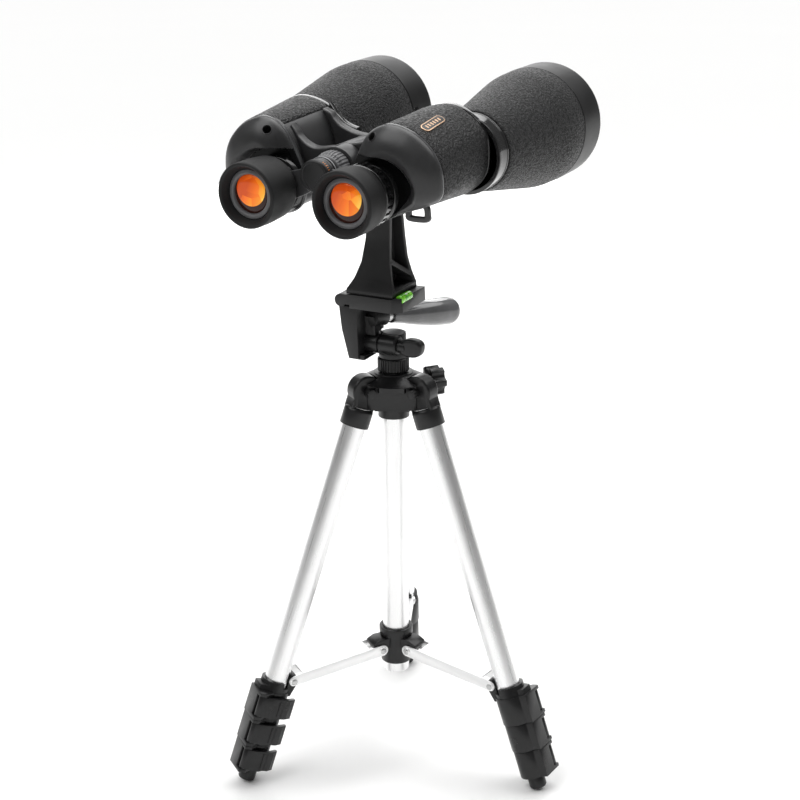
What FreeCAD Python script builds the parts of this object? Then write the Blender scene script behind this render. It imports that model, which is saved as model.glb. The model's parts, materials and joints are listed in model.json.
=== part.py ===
import FreeCAD, Part

# Large Porro-prism binoculars on an L-adapter, a pan-and-tilt head and a small
# four-section tripod with its legs collapsed.  Millimetres.  +Z is up, +Y is the
# horizontal direction in which the binoculars look, and the origin is on the floor
# under the middle of the whole object.

import math
import os

from FreeCAD import Rotation, Vector

AXIS_X = Vector(1, 0, 0)
AXIS_Y = Vector(0, 1, 0)
AXIS_Z = Vector(0, 0, 1)

# Where the tripod's centre column stands, seen from the origin.
COLUMN = Vector(-13.161, -0.105, 0.0)

# ---------------------------------------------------------------- tripod sizes
LEG_AZIMUTHS = {"rear": 116.1, "left": 236.1, "right": 356.1}
SPLAY = 19.6
PIVOT_RADIUS = 22.0
PIVOT_HEIGHT = 278.0
LEG_LENGTH = PIVOT_HEIGHT / math.cos(math.radians(SPLAY))

WALL = 0.7
RUNNING_CLEARANCE = 0.05
UPPER_TUBE_R = 8.4
SECTION_R = {2: 7.0, 3: 5.6, 4: 4.3}
SECTION_TOP = {2: 245.0, 3: 240.0, 4: 235.0}
UPPER_TUBE_SPAN = (62.0, 283.0)
COLLAR_HEIGHT = 20.0
COLLAR_BASE = {1: 52.0, 2: 31.6, 3: 11.2}
COLLAR_R = {1: 11.4, 2: 10.8, 3: 10.2}
BUSH_DEPTH = 9.0
LEVER_HEIGHT = 14.6
LEVER_LIFT = 2.7
LEVER_THICKNESS = 3.0
LEVER_GAP = 0.35
FOOT_R = 6.1
FOOT_TOP = 10.8
FOOT_ROUND = 2.0
FOOT_WEAR = 0.35

KNUCKLE_R = 11.0
KNUCKLE_HALF_WIDTH = 6.0
LEG_PIN_R = 3.0
SLEEVE_R = 10.2
SLEEVE_END = LEG_LENGTH - 25.5

CENTRE_TUBE_R = 9.4
CENTRE_TUBE_WALL = 0.9
CENTRE_TUBE_SPAN = (62.0, 268.0)
COLUMN_TUBE_R = 7.8
COLUMN_TUBE_SPAN = (72.0, 290.0)
SHOULDER_BOTTOM = 261.0
SHOULDER_TOP = 284.0
FLANGE_TOP = 288.6
COLLAR_RING_SPAN = (288.9, 299.0)
COLLAR_RING_R = 10.2

BRACE_INNER = (14.5, 80.4)
BRACE_OUTER = (84.2, 73.0)
BRACE_WIDTH = 16.2
BRACE_SHEET = 1.2
BRACE_HALF_HEIGHT = 4.1
BRACE_OUTER_END_R = 3.5
RIVET_R = 1.8
LUG_HALF_WIDTH = 6.5
HUB_SPAN = (68.0, 95.0)
HUB_R = 10.9

KNOB_AZIMUTH = 56.1
KNOB_HEIGHT = 277.0

# ------------------------------------------------------------------ head sizes
TILT_AXIS = Vector(0.0, -8.0, 309.5)
REST_PITCH = 3.6
BARREL_R = 6.0
TILT_PIN_R = 2.6
PAN_BASE = 299.3
PAN_BOSS_R = 9.0
PAN_BOSS_TOP = 316.3
FLIP_AXIS = (-24.0, 33.9)
FLIP_KNUCKLE_R = 4.4
FLIP_PIN_R = 2.0
PLATFORM_LOW = Vector(-17.0, -18.7, 29.0)
PLATFORM_HIGH = Vector(21.0, 17.5, 38.6)
HANDLE_START = Vector(-9.0, 5.0, 17.0)
HANDLE_END = Vector(8.0, 80.2, 1.5)
HANDLE_ROD_R = 3.7

# ------------------------------------------------------------ binocular sizes
# The binoculars have their own frame: x to the right, y towards the objectives,
# z up, with its origin between the eyecups' rear faces, level with their axes.
BINOCULAR_ORIGIN = Vector(0.0, -102.5, 122.6)
EYEPIECE_X = 33.95
OBJECTIVE_X = 65.1
OBJECTIVE_Z = 12.3
HINGE_Z = 9.0
EYECUP_R = 20.6
EYECUP_END = 20.5
EYEPIECE_TUBE_R = 14.5
EYE_LENS_R = 12.0
HOOD_R = 39.3
HOOD_FRONT = 224.6
NECK_R = 24.9
NECK_START = 97.0
CONE_START = 110.0
CONE_END = 181.0
COVER_REAR = 28.5
COVER_SEAM = 39.5
COVER_ROUND = 7.5
EYE_PLATE_Y = 36.0
HOUSING_FRONT = 98.0
AXLE_R = 5.0
SPINDLE_R = 6.0
WHEEL_SPAN = (42.0, 56.0)
WHEEL_R = 12.0
BRIDGE_CAP_SPAN = (26.8, 29.2)
BRIDGE_CAP_R = 10.4
BRIDGE_BAND_SPAN = (34.2, 39.0)
HINGE_RING_R = 13.0
REAR_CREST = ((0, 22.0), (5, 21.6), (11, 20.6), (16, 19.3), (21, 18.9), (26, 20.2), (30, 23.0), (33, 28.3), (35, 33.0))
FRONT_CREST = ((0, 22.0), (6, 22.8), (13, 24.8), (19, 28.6), (25, 33.0), (31, 35.8), (36, 37.0))
HINGE_ARMS = {"left": ((57.0, 63.0, REAR_CREST), (88.0, 95.4, FRONT_CREST)), "right": ((63.4, 87.6, REAR_CREST),)}
EYE_ARM_SPAN = {"left": (29.4, 31.6), "right": (31.8, 34.0)}
EYE_ARM_R = 9.2
SIDES = {"left": -1, "right": 1}


# --------------------------------------------------------------------- helpers
def cylinder(radius, start, end):
    start = Vector(*start)
    along = Vector(*end) - start
    return Part.makeCylinder(radius, along.Length, start, along)


def tube(outer, inner, start, end):
    return cylinder(outer, start, end).cut(cylinder(inner, start, end))


def block(low, high):
    low = Vector(*low)
    size = Vector(*high) - low
    return Part.makeBox(size.x, size.y, size.z, low)


def prism(points, along):
    """A straight-edged outline of 3-D points, pushed along a vector."""
    corners = [Vector(*point) for point in points]
    return Part.Face(Part.makePolygon(corners + corners[:1])).extrude(Vector(*along))


def smooth_face(points, y):
    """A face at one y, bounded by a smooth closed curve through (x, z) points."""
    curve = Part.BSplineCurve()
    curve.interpolate([Vector(x, y, z) for x, z in points], PeriodicFlag=True)
    return curve.toShape()


def turned(profile, centre=Vector(0, 0, 0), axis=AXIS_Y):
    """Turns (radius, distance along the axis) points into a solid about the axis."""
    side = AXIS_X if axis != AXIS_X else AXIS_Y
    corners = [centre + side * radius + axis * along for radius, along in profile]
    face = Part.Face(Part.makePolygon(corners + corners[:1]))
    return face.revolve(centre, axis, 360)


def fuse(*shapes):
    solid = shapes[0].fuse(list(shapes[1:])) if len(shapes) > 1 else shapes[0]
    return solid.removeSplitter()


def lobed(radius, lobes, depth, start, end):
    """A knob: a cylinder with round grips cut into its rim."""
    start = Vector(*start)
    along = Vector(*end) - start
    knob = cylinder(radius, start, end)
    turn = Rotation(AXIS_Z, along)
    for index in range(lobes):
        angle = 2 * math.pi * index / lobes
        offset = turn.multVec(Vector(math.cos(angle), math.sin(angle), 0) * (radius + depth))
        knob = knob.cut(Part.makeCylinder(2.2 * depth, along.Length, start + offset, along))
    return knob


def moved(shape, vector):
    copy = shape.copy()
    copy.translate(vector)
    return copy


def rotated(shape, centre, axis, degrees):
    copy = shape.copy()
    copy.rotate(centre, axis, degrees)
    return copy


def save(node, *solids):
    """Writes one node, from the column's frame to the part's frame."""
    solid = solids[0] if len(solids) == 1 else Part.makeCompound(list(solids))
    moved(solid, COLUMN).exportStep(os.path.join("parts", node + ".step"))


def on_leg(shape, azimuth):
    """From a leg's frame: z up its axis from the floor, x outwards, y sideways."""
    placed = moved(shape, Vector(0, 0, -LEG_LENGTH))
    placed = rotated(placed, Vector(0, 0, 0), AXIS_Y, -SPLAY)
    placed = rotated(placed, Vector(0, 0, 0), AXIS_Z, azimuth)
    angle = math.radians(azimuth)
    pivot = Vector(math.cos(angle) * PIVOT_RADIUS, math.sin(angle) * PIVOT_RADIUS, PIVOT_HEIGHT)
    return moved(placed, pivot)


def around(shape, azimuth):
    """From a plane through the column, x outwards, to an azimuth."""
    return rotated(shape, Vector(0, 0, 0), AXIS_Z, azimuth)


def tilted(shape):
    """From the tilting head's frame, whose origin is on the tilt axis."""
    return moved(rotated(shape, Vector(0, 0, 0), AXIS_X, REST_PITCH), TILT_AXIS)


def on_binoculars(shape):
    return tilted(moved(shape, BINOCULAR_ORIGIN))


def mirrored(shape, side):
    """The right-hand shape, or its mirror image for the left."""
    if SIDES[side] > 0:
        return shape
    return shape.mirror(Vector(0, 0, 0), AXIS_X)


# ----------------------------------------------------------------- tripod legs
def leg_knuckle():
    """The plastic leg top: a round lug in the shoulder and a sleeve over the tube."""
    half = KNUCKLE_HALF_WIDTH
    lug = cylinder(KNUCKLE_R, (0, -half, LEG_LENGTH), (0, half, LEG_LENGTH))
    lug = lug.makeFillet(1.5, lug.Edges)
    neck = block((-8.0, -half, LEG_LENGTH - 14), (8.5, half, LEG_LENGTH))
    sleeve = cylinder(SLEEVE_R, (0, 0, SLEEVE_END), (0, 0, LEG_LENGTH - 12))
    sleeve = sleeve.makeFillet(3.0, [edge for edge in sleeve.Edges if edge.CenterOfMass.z > LEG_LENGTH - 13])
    body = fuse(lug, neck, sleeve)
    body = body.cut(cylinder(UPPER_TUBE_R, (0, 0, SLEEVE_END - 1), (0, 0, UPPER_TUBE_SPAN[1])))
    pin_r = LEG_PIN_R + RUNNING_CLEARANCE
    return body.cut(cylinder(pin_r, (0, -half - 1, LEG_LENGTH), (0, half + 1, LEG_LENGTH)))


def upper_tube():
    low, high = UPPER_TUBE_SPAN
    return tube(UPPER_TUBE_R, UPPER_TUBE_R - WALL, (0, 0, low), (0, 0, high))


def lock_collar(number, held_r, held_from, sliding_r):
    """A collar that holds one tube and grips the next, with ears for its flip lever."""
    base = COLLAR_BASE[number]
    top = base + COLLAR_HEIGHT
    radius = COLLAR_R[number]
    sleeve = cylinder(radius, (0, 0, base), (0, 0, top))
    ears = prism([(2, -6.5, base), (radius + 3.6, -5.5, base), (radius + 3.6, radius + 1.4, base),
                  (radius - 1.0, radius + 2.4, base), (4, radius - 1.0, base)], (0, 0, COLLAR_HEIGHT))
    body = fuse(sleeve, ears)
    slot_low = base + LEVER_LIFT - 0.25
    slot_high = slot_low + LEVER_HEIGHT + 0.5
    hinge = lever_hinge(number)
    slot = cylinder(3.2, (hinge[0], hinge[1], slot_low), (hinge[0], hinge[1], slot_high))
    opening = block((-radius - 5, radius - 1.2, slot_low), (hinge[0], radius + 8, slot_high))
    outside = block((hinge[0], hinge[1] - 3.2, slot_low), (radius + 8, radius + 8, slot_high))
    body = body.cut(fuse(slot, opening, outside))
    body = body.fuse(cylinder(1.2, (hinge[0], hinge[1], base + 0.5), (hinge[0], hinge[1], top - 0.5)))
    body = body.cut(cylinder(held_r, (0, 0, held_from), (0, 0, top + 1)))
    return body.cut(cylinder(sliding_r, (0, 0, base - 1), (0, 0, top + 1)))


def lever_hinge(number):
    radius = COLLAR_R[number]
    return (radius + 0.2, radius - 0.8)


def flip_lever(number):
    """The flip lever: a hinge barrel, a curved plate and thumb ribs at its free end."""
    base = COLLAR_BASE[number] + LEVER_LIFT
    radius = COLLAR_R[number]
    x, y = lever_hinge(number)
    up = (0, 0, LEVER_HEIGHT)
    inner = radius + LEVER_GAP
    barrel = cylinder(2.7, (x, y, base), (x, y, base + LEVER_HEIGHT))
    plate = prism([(x, y - 2.7, base), (x + 2.7, y, base), (x + 1.0, inner + 1.6, base),
                   (5, inner + LEVER_THICKNESS, base), (-7, inner + LEVER_THICKNESS, base),
                   (-radius - 1.6, inner + 0.6, base), (-radius - 1.9, inner - 1.8, base),
                   (-radius - 0.4, inner - 2.0, base), (-6, inner, base), (x - 4, inner, base)], up)
    body = fuse(barrel, plate)
    sleeve = cylinder(radius + LEVER_GAP, (0, 0, base - 1), (0, 0, base + LEVER_HEIGHT + 1))
    body = body.cut(sleeve)
    for index in range(3):
        rib_x = -1.5 - 3.2 * index
        rib = block((rib_x - 0.8, inner + LEVER_THICKNESS - 1.2, base + 1.5),
                    (rib_x + 0.8, inner + LEVER_THICKNESS + 0.7 - 0.5 * index, base + LEVER_HEIGHT - 1.5))
        body = body.fuse(rib)
    pin = cylinder(1.2 + RUNNING_CLEARANCE, (x, y, base - 1), (x, y, base + LEVER_HEIGHT + 1))
    return body.cut(pin).removeSplitter()


def upper_collar():
    """The first collar, with the lug that the spreader's brace is riveted to."""
    bore = SECTION_R[2] + RUNNING_CLEARANCE
    body = lock_collar(1, UPPER_TUBE_R, UPPER_TUBE_SPAN[0], bore)
    top = COLLAR_BASE[1] + COLLAR_HEIGHT
    ring = cylinder(10.6, (0, 0, top - 0.5), (0, 0, 79.0))
    ring = ring.cut(block((-12, -12, 75.0), (-2.5, 12, 80.0)))
    shield = prism([(2, -5.5, top - 1), (13.6, -4.5, top - 1), (13.6, 5.5, top - 1), (2, 9.5, top - 1)],
                   (0, 0, 5.0))
    rivet_x, rivet_z = outer_rivet_on_leg()
    half = LUG_HALF_WIDTH
    eye = cylinder(4.0, (rivet_x, -half, rivet_z), (rivet_x, half, rivet_z))
    gusset = prism([(-7.0, -half, top - 3), (-10.9, -half, top - 3), (rivet_x - 3.9, -half, rivet_z - 0.8),
                    (-7.0, -half, rivet_z + 3.5)], (0, 2 * half, 0))
    body = fuse(body, ring, shield, eye, gusset)
    return body.cut(cylinder(UPPER_TUBE_R, (0, 0, UPPER_TUBE_SPAN[0]), (0, 0, 100)))


def outer_rivet_on_leg():
    """The brace's outer rivet in the leg's frame, as (x, z)."""
    angle = math.radians(SPLAY)
    out = BRACE_OUTER[0] - PIVOT_RADIUS
    down = PIVOT_HEIGHT - BRACE_OUTER[1]
    along = out * math.sin(angle) + down * math.cos(angle)
    return out * math.cos(angle) - down * math.sin(angle), LEG_LENGTH - along


def middle_section(number):
    """A nested tube and the lock collar at its lower end, as two solids."""
    radius = SECTION_R[number]
    base = COLLAR_BASE[number]
    held_from = base + BUSH_DEPTH
    bore = SECTION_R[number + 1] + RUNNING_CLEARANCE
    inner_tube = tube(radius, radius - WALL, (0, 0, held_from), (0, 0, SECTION_TOP[number]))
    return inner_tube, lock_collar(number, radius, held_from, bore)


def foot_section():
    """The thinnest tube and its rubber foot, which is worn flat where it meets the floor."""
    radius = SECTION_R[4]
    inner_tube = tube(radius, radius - WALL, (0, 0, FOOT_TOP - 3), (0, 0, SECTION_TOP[4]))
    splay = math.radians(SPLAY)
    lowest = FOOT_ROUND + (FOOT_R - FOOT_ROUND) * math.sin(splay)
    end = lowest / math.cos(splay) - FOOT_ROUND - FOOT_WEAR
    foot = cylinder(FOOT_R, (0, 0, end), (0, 0, FOOT_TOP))
    foot = foot.makeFillet(FOOT_ROUND, [edge for edge in foot.Edges if edge.CenterOfMass.z < end + 1])
    return inner_tube, foot.cut(cylinder(radius, (0, 0, FOOT_TOP - 3), (0, 0, FOOT_TOP + 1)))


def build_legs():
    floor = block((-300, -300, -20), (300, 300, 0))
    for name, azimuth in LEG_AZIMUTHS.items():
        save(name + "_leg_knuckle", on_leg(leg_knuckle(), azimuth))
        save(name + "_leg_tube", on_leg(upper_tube(), azimuth))
        save(name + "_leg_collar", on_leg(upper_collar(), azimuth))
        for number in (2, 3):
            save("%s_leg_section_%d" % (name, number),
                 *[on_leg(solid, azimuth) for solid in middle_section(number)])
        for number in (1, 2, 3):
            save("%s_leg_lever_%d" % (name, number), on_leg(flip_lever(number), azimuth))
        inner_tube, foot = foot_section()
        save(name + "_leg_section_4", on_leg(inner_tube, azimuth), on_leg(foot, azimuth).cut(floor))


# ------------------------------------------------------- shoulder and spreader
def leg_clearance(azimuth):
    """The room one leg top needs in the shoulder, over its whole fold."""
    gap = 0.4
    half = KNUCKLE_HALF_WIDTH + gap
    lug = cylinder(KNUCKLE_R + gap, (0, -half, LEG_LENGTH), (0, half, LEG_LENGTH))
    neck = block((-9.6, -half, LEG_LENGTH - 30), (10.5, half, LEG_LENGTH))
    sleeve = cylinder(SLEEVE_R + 1.2, (0, 0, SLEEVE_END - 20), (0, 0, LEG_LENGTH - 11.2))
    return on_leg(fuse(lug, neck, sleeve), azimuth)


def shoulder():
    """The crown casting: a boss, a flange, and three plates that hold the leg tops."""
    body = cylinder(12.6, (0, 0, SHOULDER_BOTTOM + 3.5), (0, 0, SHOULDER_TOP))
    body = body.fuse(cylinder(10.9, (0, 0, SHOULDER_BOTTOM - 4.5), (0, 0, SHOULDER_BOTTOM + 4)))
    half_length = 24.5
    end_r = (SHOULDER_TOP - SHOULDER_BOTTOM - 3.5) / 2
    middle = SHOULDER_TOP - end_r
    for azimuth in LEG_AZIMUTHS.values():
        straight = half_length - end_r
        plate = block((8.0, -straight, middle - end_r), (17.0, straight, middle + end_r))
        ends = [cylinder(end_r, (8.0, side * straight, middle), (17.0, side * straight, middle))
                for side in (-1, 1)]
        body = body.fuse(around(fuse(plate, *ends), azimuth + 60))
        body = body.fuse(around(block((0, -12.5, SHOULDER_TOP - 6), (17, 12.5, SHOULDER_TOP)), azimuth))
    dome = Part.makeCone(24.0, 14.0, 5.0, Vector(0, 0, SHOULDER_TOP - 1.0))
    body = body.fuse([dome, cylinder(13.6, (0, 0, SHOULDER_TOP + 2), (0, 0, FLANGE_TOP))])
    for azimuth in LEG_AZIMUTHS.values():
        body = body.cut(leg_clearance(azimuth))
    boss = cylinder(5.5, (10, 0, KNOB_HEIGHT), (24.6, 0, KNOB_HEIGHT))
    body = body.fuse(around(boss, KNOB_AZIMUTH))
    for azimuth in LEG_AZIMUTHS.values():
        pin = cylinder(LEG_PIN_R, (0, -12.0, LEG_LENGTH), (0, 12.0, LEG_LENGTH))
        body = body.fuse(on_leg(pin, azimuth))
    body = body.cut(around(cylinder(3.05, (5, 0, KNOB_HEIGHT), (30, 0, KNOB_HEIGHT)), KNOB_AZIMUTH))
    body = body.cut(cylinder(CENTRE_TUBE_R, (0, 0, 200), (0, 0, CENTRE_TUBE_SPAN[1])))
    bore = COLUMN_TUBE_R + RUNNING_CLEARANCE
    return body.cut(cylinder(bore, (0, 0, 200), (0, 0, 320))).removeSplitter()


def centre_tube():
    low, high = CENTRE_TUBE_SPAN
    return tube(CENTRE_TUBE_R, CENTRE_TUBE_R - CENTRE_TUBE_WALL, (0, 0, low), (0, 0, high))


def tube_plug():
    """The plug in the centre tube's lower end, with its screw."""
    low = CENTRE_TUBE_SPAN[0]
    inside = CENTRE_TUBE_R - CENTRE_TUBE_WALL
    plug = cylinder(inside, (0, 0, low), (0, 0, low + 6))
    return fuse(plug, cylinder(CENTRE_TUBE_R - 0.4, (0, 0, low - 1.6), (0, 0, low)),
                cylinder(2.6, (0, 0, low - 3.0), (0, 0, low)))


def column_tube():
    low, high = COLUMN_TUBE_SPAN
    return tube(COLUMN_TUBE_R, COLUMN_TUBE_R - 0.9, (0, 0, low), (0, 0, high))


def column_collar():
    """The ribbed collar on the column's top."""
    low, high = COLLAR_RING_SPAN
    ring = cylinder(COLLAR_RING_R, (0, 0, low), (0, 0, high))
    grooves = 26
    for index in range(grooves):
        angle = 2 * math.pi * index / grooves
        x = math.cos(angle) * (COLLAR_RING_R + 0.25)
        y = math.sin(angle) * (COLLAR_RING_R + 0.25)
        ring = ring.cut(cylinder(0.75, (x, y, low + 1.2), (x, y, high - 1.0)))
    return ring.cut(cylinder(COLUMN_TUBE_R, (0, 0, low - 1), (0, 0, COLUMN_TUBE_SPAN[1])))


def column_knob():
    """The lobed knob that locks the column, with its clamping stem."""
    knob = lobed(10.5, 6, 1.8, (26.2, 0, KNOB_HEIGHT), (36.5, 0, KNOB_HEIGHT))
    neck = cylinder(5.0, (24.9, 0, KNOB_HEIGHT), (26.2, 0, KNOB_HEIGHT))
    stem = cylinder(3.0, (8.4, 0, KNOB_HEIGHT), (25, 0, KNOB_HEIGHT))
    return around(fuse(knob, neck, stem), KNOB_AZIMUTH)


def hub():
    """The spreader's hub, which slides on the centre tube."""
    low, high = HUB_SPAN
    body = cylinder(HUB_R, (0, 0, low), (0, 0, high))
    body = body.fuse(cylinder(HUB_R + 1.2, (0, 0, high - 6), (0, 0, high)))
    x, z = BRACE_INNER
    half = LUG_HALF_WIDTH
    for azimuth in LEG_AZIMUTHS.values():
        eye = cylinder(4.0, (x, -half, z), (x, half, z))
        lug = prism([(5, -half, z - 4), (x, -half, z - 4), (x + 6.2, -half, z + 2.5), (x + 6.2, -half, z + 5),
                     (x + 1, -half, z + 7.5), (5, -half, z + 7.5)], (0, 2 * half, 0))
        hole = cylinder(RIVET_R + RUNNING_CLEARANCE, (x, -half - 1, z), (x, half + 1, z))
        body = body.fuse(around(fuse(eye, lug), azimuth))
        body = body.cut(around(hole, azimuth))
    return body.cut(cylinder(CENTRE_TUBE_R + RUNNING_CLEARANCE, (0, 0, low - 1), (0, 0, high + 1)))


def brace():
    """A spreader brace: a channel of bent sheet with its web on top, and its rivets."""
    length = math.dist(BRACE_INNER, BRACE_OUTER)
    half = BRACE_WIDTH / 2
    height = BRACE_HALF_HEIGHT
    outer_r = BRACE_OUTER_END_R
    body = None
    for side in (-1, 1):
        y = side * half if side < 0 else half - BRACE_SHEET
        cheek = prism([(0, y, -height), (length, y, -outer_r), (length, y, outer_r), (length - 6, y, height),
                       (0, y, height)], (0, BRACE_SHEET, 0))
        ends = [cylinder(radius, (x, y, 0), (x, y + BRACE_SHEET, 0))
                for x, radius in ((0, height), (length, outer_r))]
        heads = [cylinder(2.9, (x, side * half, 0), (x, side * (half + 0.9), 0)) for x in (0, length)]
        cheek = fuse(cheek, *ends, *heads)
        body = cheek if body is None else body.fuse(cheek)
    web = block((9.5, -half, height - BRACE_SHEET), (length - 7.5, half, height))
    rivet = cylinder(RIVET_R, (0, -half, 0), (0, half, 0))
    body = fuse(body, web, rivet)
    slope = math.degrees(math.atan2(BRACE_INNER[1] - BRACE_OUTER[1], BRACE_OUTER[0] - BRACE_INNER[0]))
    body = rotated(body, Vector(0, 0, 0), AXIS_Y, slope)
    return moved(body, Vector(BRACE_INNER[0], 0, BRACE_INNER[1]))


def build_tripod():
    save("shoulder", shoulder())
    save("centre_tube", centre_tube())
    save("tube_plug", tube_plug())
    save("column_tube", column_tube())
    save("column_collar", column_collar())
    save("column_knob", column_knob())
    save("spreader_hub", hub())
    for name, azimuth in LEG_AZIMUTHS.items():
        save(name + "_brace", around(brace(), azimuth))
    build_legs()


# ------------------------------------------------------------- pan-tilt head
def pan_block():
    """The part that turns on the column: a capped boss and half of the tilt barrel."""
    boss = fuse(cylinder(10.0, (0, 0, PAN_BASE), (0, 0, PAN_BASE + 4)),
                cylinder(PAN_BOSS_R, (0, 0, PAN_BASE + 3), (0, 0, PAN_BOSS_TOP - 1.2)),
                cylinder(PAN_BOSS_R - 0.3, (0, 0, PAN_BOSS_TOP - 1.2), (0, 0, PAN_BOSS_TOP)))
    y, z = TILT_AXIS.y, TILT_AXIS.z
    boss = boss.cut(cylinder(BARREL_R + 0.5, (-20, y, z), (-4.3, y, z)))
    barrel = cylinder(BARREL_R, (-4.3, y, z), (8.5, y, z))
    bore = cylinder(TILT_PIN_R + RUNNING_CLEARANCE, (-20, y, z), (20, y, z))
    return fuse(boss, barrel).cut(bore)


def tilt_wing():
    """The winged clamp bolt that runs through the tilt barrel."""
    y, z = TILT_AXIS.y, TILT_AXIS.z
    bolt = cylinder(TILT_PIN_R, (-16, y, z), (10, y, z))
    neck = cylinder(4.6, (8.8, y, z), (16, y, z))
    front = y - 3.5
    wing = prism([(13, front, z - 6.3), (25.5, front, z - 6.6), (27.5, front, z - 3),
                  (27.5, front, z + 4.5), (24.5, front, z + 6.9), (15, front, z + 5.0)], (0, 7, 0))
    return fuse(bolt, neck, wing)


def tilt_arm():
    """The arm beside the barrel that carries the platform's hinge and the handle."""
    barrel = cylinder(BARREL_R, (-21, 0, 0), (-4.6, 0, 0))
    plate = prism([(-22.5, -14, -8.5), (-15.0, -14, -8.5), (-14.6, -14, 28.4), (-28.2, -14, 28.4),
                   (-27.0, -14, 12)], (0, 25, 0))
    toe = block((-22.5, -12, -9.4), (-11.5, 8, -6.2))
    x, w = FLIP_AXIS
    knuckle = cylinder(FLIP_KNUCKLE_R, (x, -11.6, w), (x, 11.6, w))
    neck = block((-28.2, -11.0, 28), (x + 4.0, 11.0, w))
    along = (HANDLE_END - HANDLE_START).normalize()
    socket = cylinder(6.2, HANDLE_START - along * 7, HANDLE_START + along * 5)
    web = block((-17, -3, 4), (-7.5, 9, 19))
    body = fuse(barrel, plate, toe, knuckle, neck, socket, web)
    body = body.cut(cylinder(FLIP_PIN_R + RUNNING_CLEARANCE, (x, -20, w), (x, 20, w)))
    body = body.cut(cylinder(HANDLE_ROD_R + RUNNING_CLEARANCE, HANDLE_START - along * 4, HANDLE_START + along * 9))
    body = body.cut(cylinder(TILT_PIN_R + RUNNING_CLEARANCE, (-16.5, 0, 0), (0, 0, 0)))
    room = moved(cylinder(PAN_BOSS_R + 0.5, (0, 0, -30), (0, 0, 8.2)), Vector(0, -TILT_AXIS.y, 0))
    return tilted(body.cut(room))


def handle_rod():
    """The handle's steel rod, which screws through the socket to lock the tilt."""
    along = (HANDLE_END - HANDLE_START).normalize()
    return tilted(cylinder(HANDLE_ROD_R, HANDLE_START - along * 3.8, HANDLE_START + along * 32))


def handle_grip():
    """The moulded grip, swelling towards its rounded end."""
    reach = (HANDLE_END - HANDLE_START).Length
    profile = [(0, 18), (5.2, 18), (5.8, 24), (8.6, 40), (10.0, 56), (10.0, reach - 5),
               (8.4, reach - 1.6), (5.0, reach), (0, reach)]
    grip = turned(profile)
    grip = grip.cut(cylinder(HANDLE_ROD_R + RUNNING_CLEARANCE, (0, 10, 0), (0, 33, 0)))
    turn = Rotation(AXIS_Y, HANDLE_END - HANDLE_START)
    grip.Placement = FreeCAD.Placement(HANDLE_START, turn)
    return tilted(grip)


def platform():
    """The hinged camera platform, with its chamfered corner, knuckles and hinge pin."""
    plate = block(PLATFORM_LOW, PLATFORM_HIGH)
    corner = 5.5
    x, y = PLATFORM_HIGH.x, PLATFORM_LOW.y
    plate = plate.cut(prism([(x - corner, y, 20), (x + 1, y - 1, 20), (x, y + corner, 20)], (0, 0, 30)))
    hinge_x, w = FLIP_AXIS
    parts = [plate, cylinder(FLIP_PIN_R, (hinge_x, -15, w), (hinge_x, 15, w))]
    for low, high in ((PLATFORM_LOW.y, -12.0), (12.0, PLATFORM_HIGH.y)):
        parts.append(cylinder(FLIP_KNUCKLE_R, (hinge_x, low, w), (hinge_x, high, w)))
        parts.append(block((hinge_x, low, w - 2.5), (PLATFORM_LOW.x + 1, high, w + FLIP_KNUCKLE_R)))
    body = fuse(*parts)
    body = body.cut(vial_pocket(3.1, 7.0))
    return tilted(body)


def vial_pocket(radius, half_length):
    """A cylinder along the platform's outer edge, where the bubble level sits."""
    x = PLATFORM_HIGH.x - 2.3
    w = PLATFORM_HIGH.z - 1.2
    return cylinder(radius, (x, -6.5 - half_length, w), (x, -6.5 + half_length, w))


def adapter():
    """The L-adapter: a flared I-beam post with a base plate and a screw boss."""
    base_w = PLATFORM_HIGH.z
    top_w = 143.0
    side = [(-17, base_w), (16, base_w), (16, base_w + 4), (15.0, 56), (14.8, 74), (13.0, 118),
            (13.0, top_w - 4), (10, top_w), (2, top_w), (-1.0, top_w - 3), (-1.0, 118), (-6.5, 76),
            (-10.0, 60), (-13.8, 48), (-17, base_w + 3.5)]
    post = prism([(-30, v, w) for v, w in side], (60, 0, 0))
    half = [(15.5, base_w), (15.5, base_w + 3.5), (12.6, 50), (10.2, 60), (9.0, 74), (8.5, 90), (8.5, top_w)]
    front = [(x, -40, w) for x, w in half] + [(-x, -40, w) for x, w in reversed(half)]
    post = post.common(prism(front, (0, 80, 0)))
    pocket = [(-12.5, base_w + 4), (12.2, base_w + 4), (11.8, 56), (11.6, 74), (10.2, 114), (2.6, 114),
              (-3.2, 76), (-6.7, 61), (-10.3, 50)]
    rib = prism([(-40, -13, 63), (-40, -13, 67), (-40, 16, 48), (-40, 16, 44)], (80, 0, 0))
    for start, depth in ((1.6, 40), (-1.6, -40)):
        hollow = prism([(start, v, w) for v, w in pocket], (depth, 0, 0))
        post = post.cut(hollow.cut(rib))
    axis_w = BINOCULAR_ORIGIN.z + HINGE_Z
    return tilted(post.cut(cylinder(3.5, (0, -10, axis_w), (0, 20, axis_w))))


def adapter_screw():
    """The thumbscrew through the adapter into the binoculars' hinge."""
    axis_w = BINOCULAR_ORIGIN.z + HINGE_Z
    knob = lobed(9.0, 8, 1.2, (0, 13.2, axis_w), (0, 24.0, axis_w))
    return tilted(fuse(knob, cylinder(3.2, (0, -11, axis_w), (0, 14, axis_w))))


def build_head():
    save("pan_block", pan_block())
    save("tilt_arm", tilt_arm())
    save("tilt_wing", tilt_wing())
    save("handle_rod", handle_rod())
    save("handle_grip", handle_grip())
    save("platform", platform())
    save("level_vial", tilted(vial_pocket(3.0, 6.8)))
    save("adapter", adapter())
    save("adapter_screw", adapter_screw())


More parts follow.
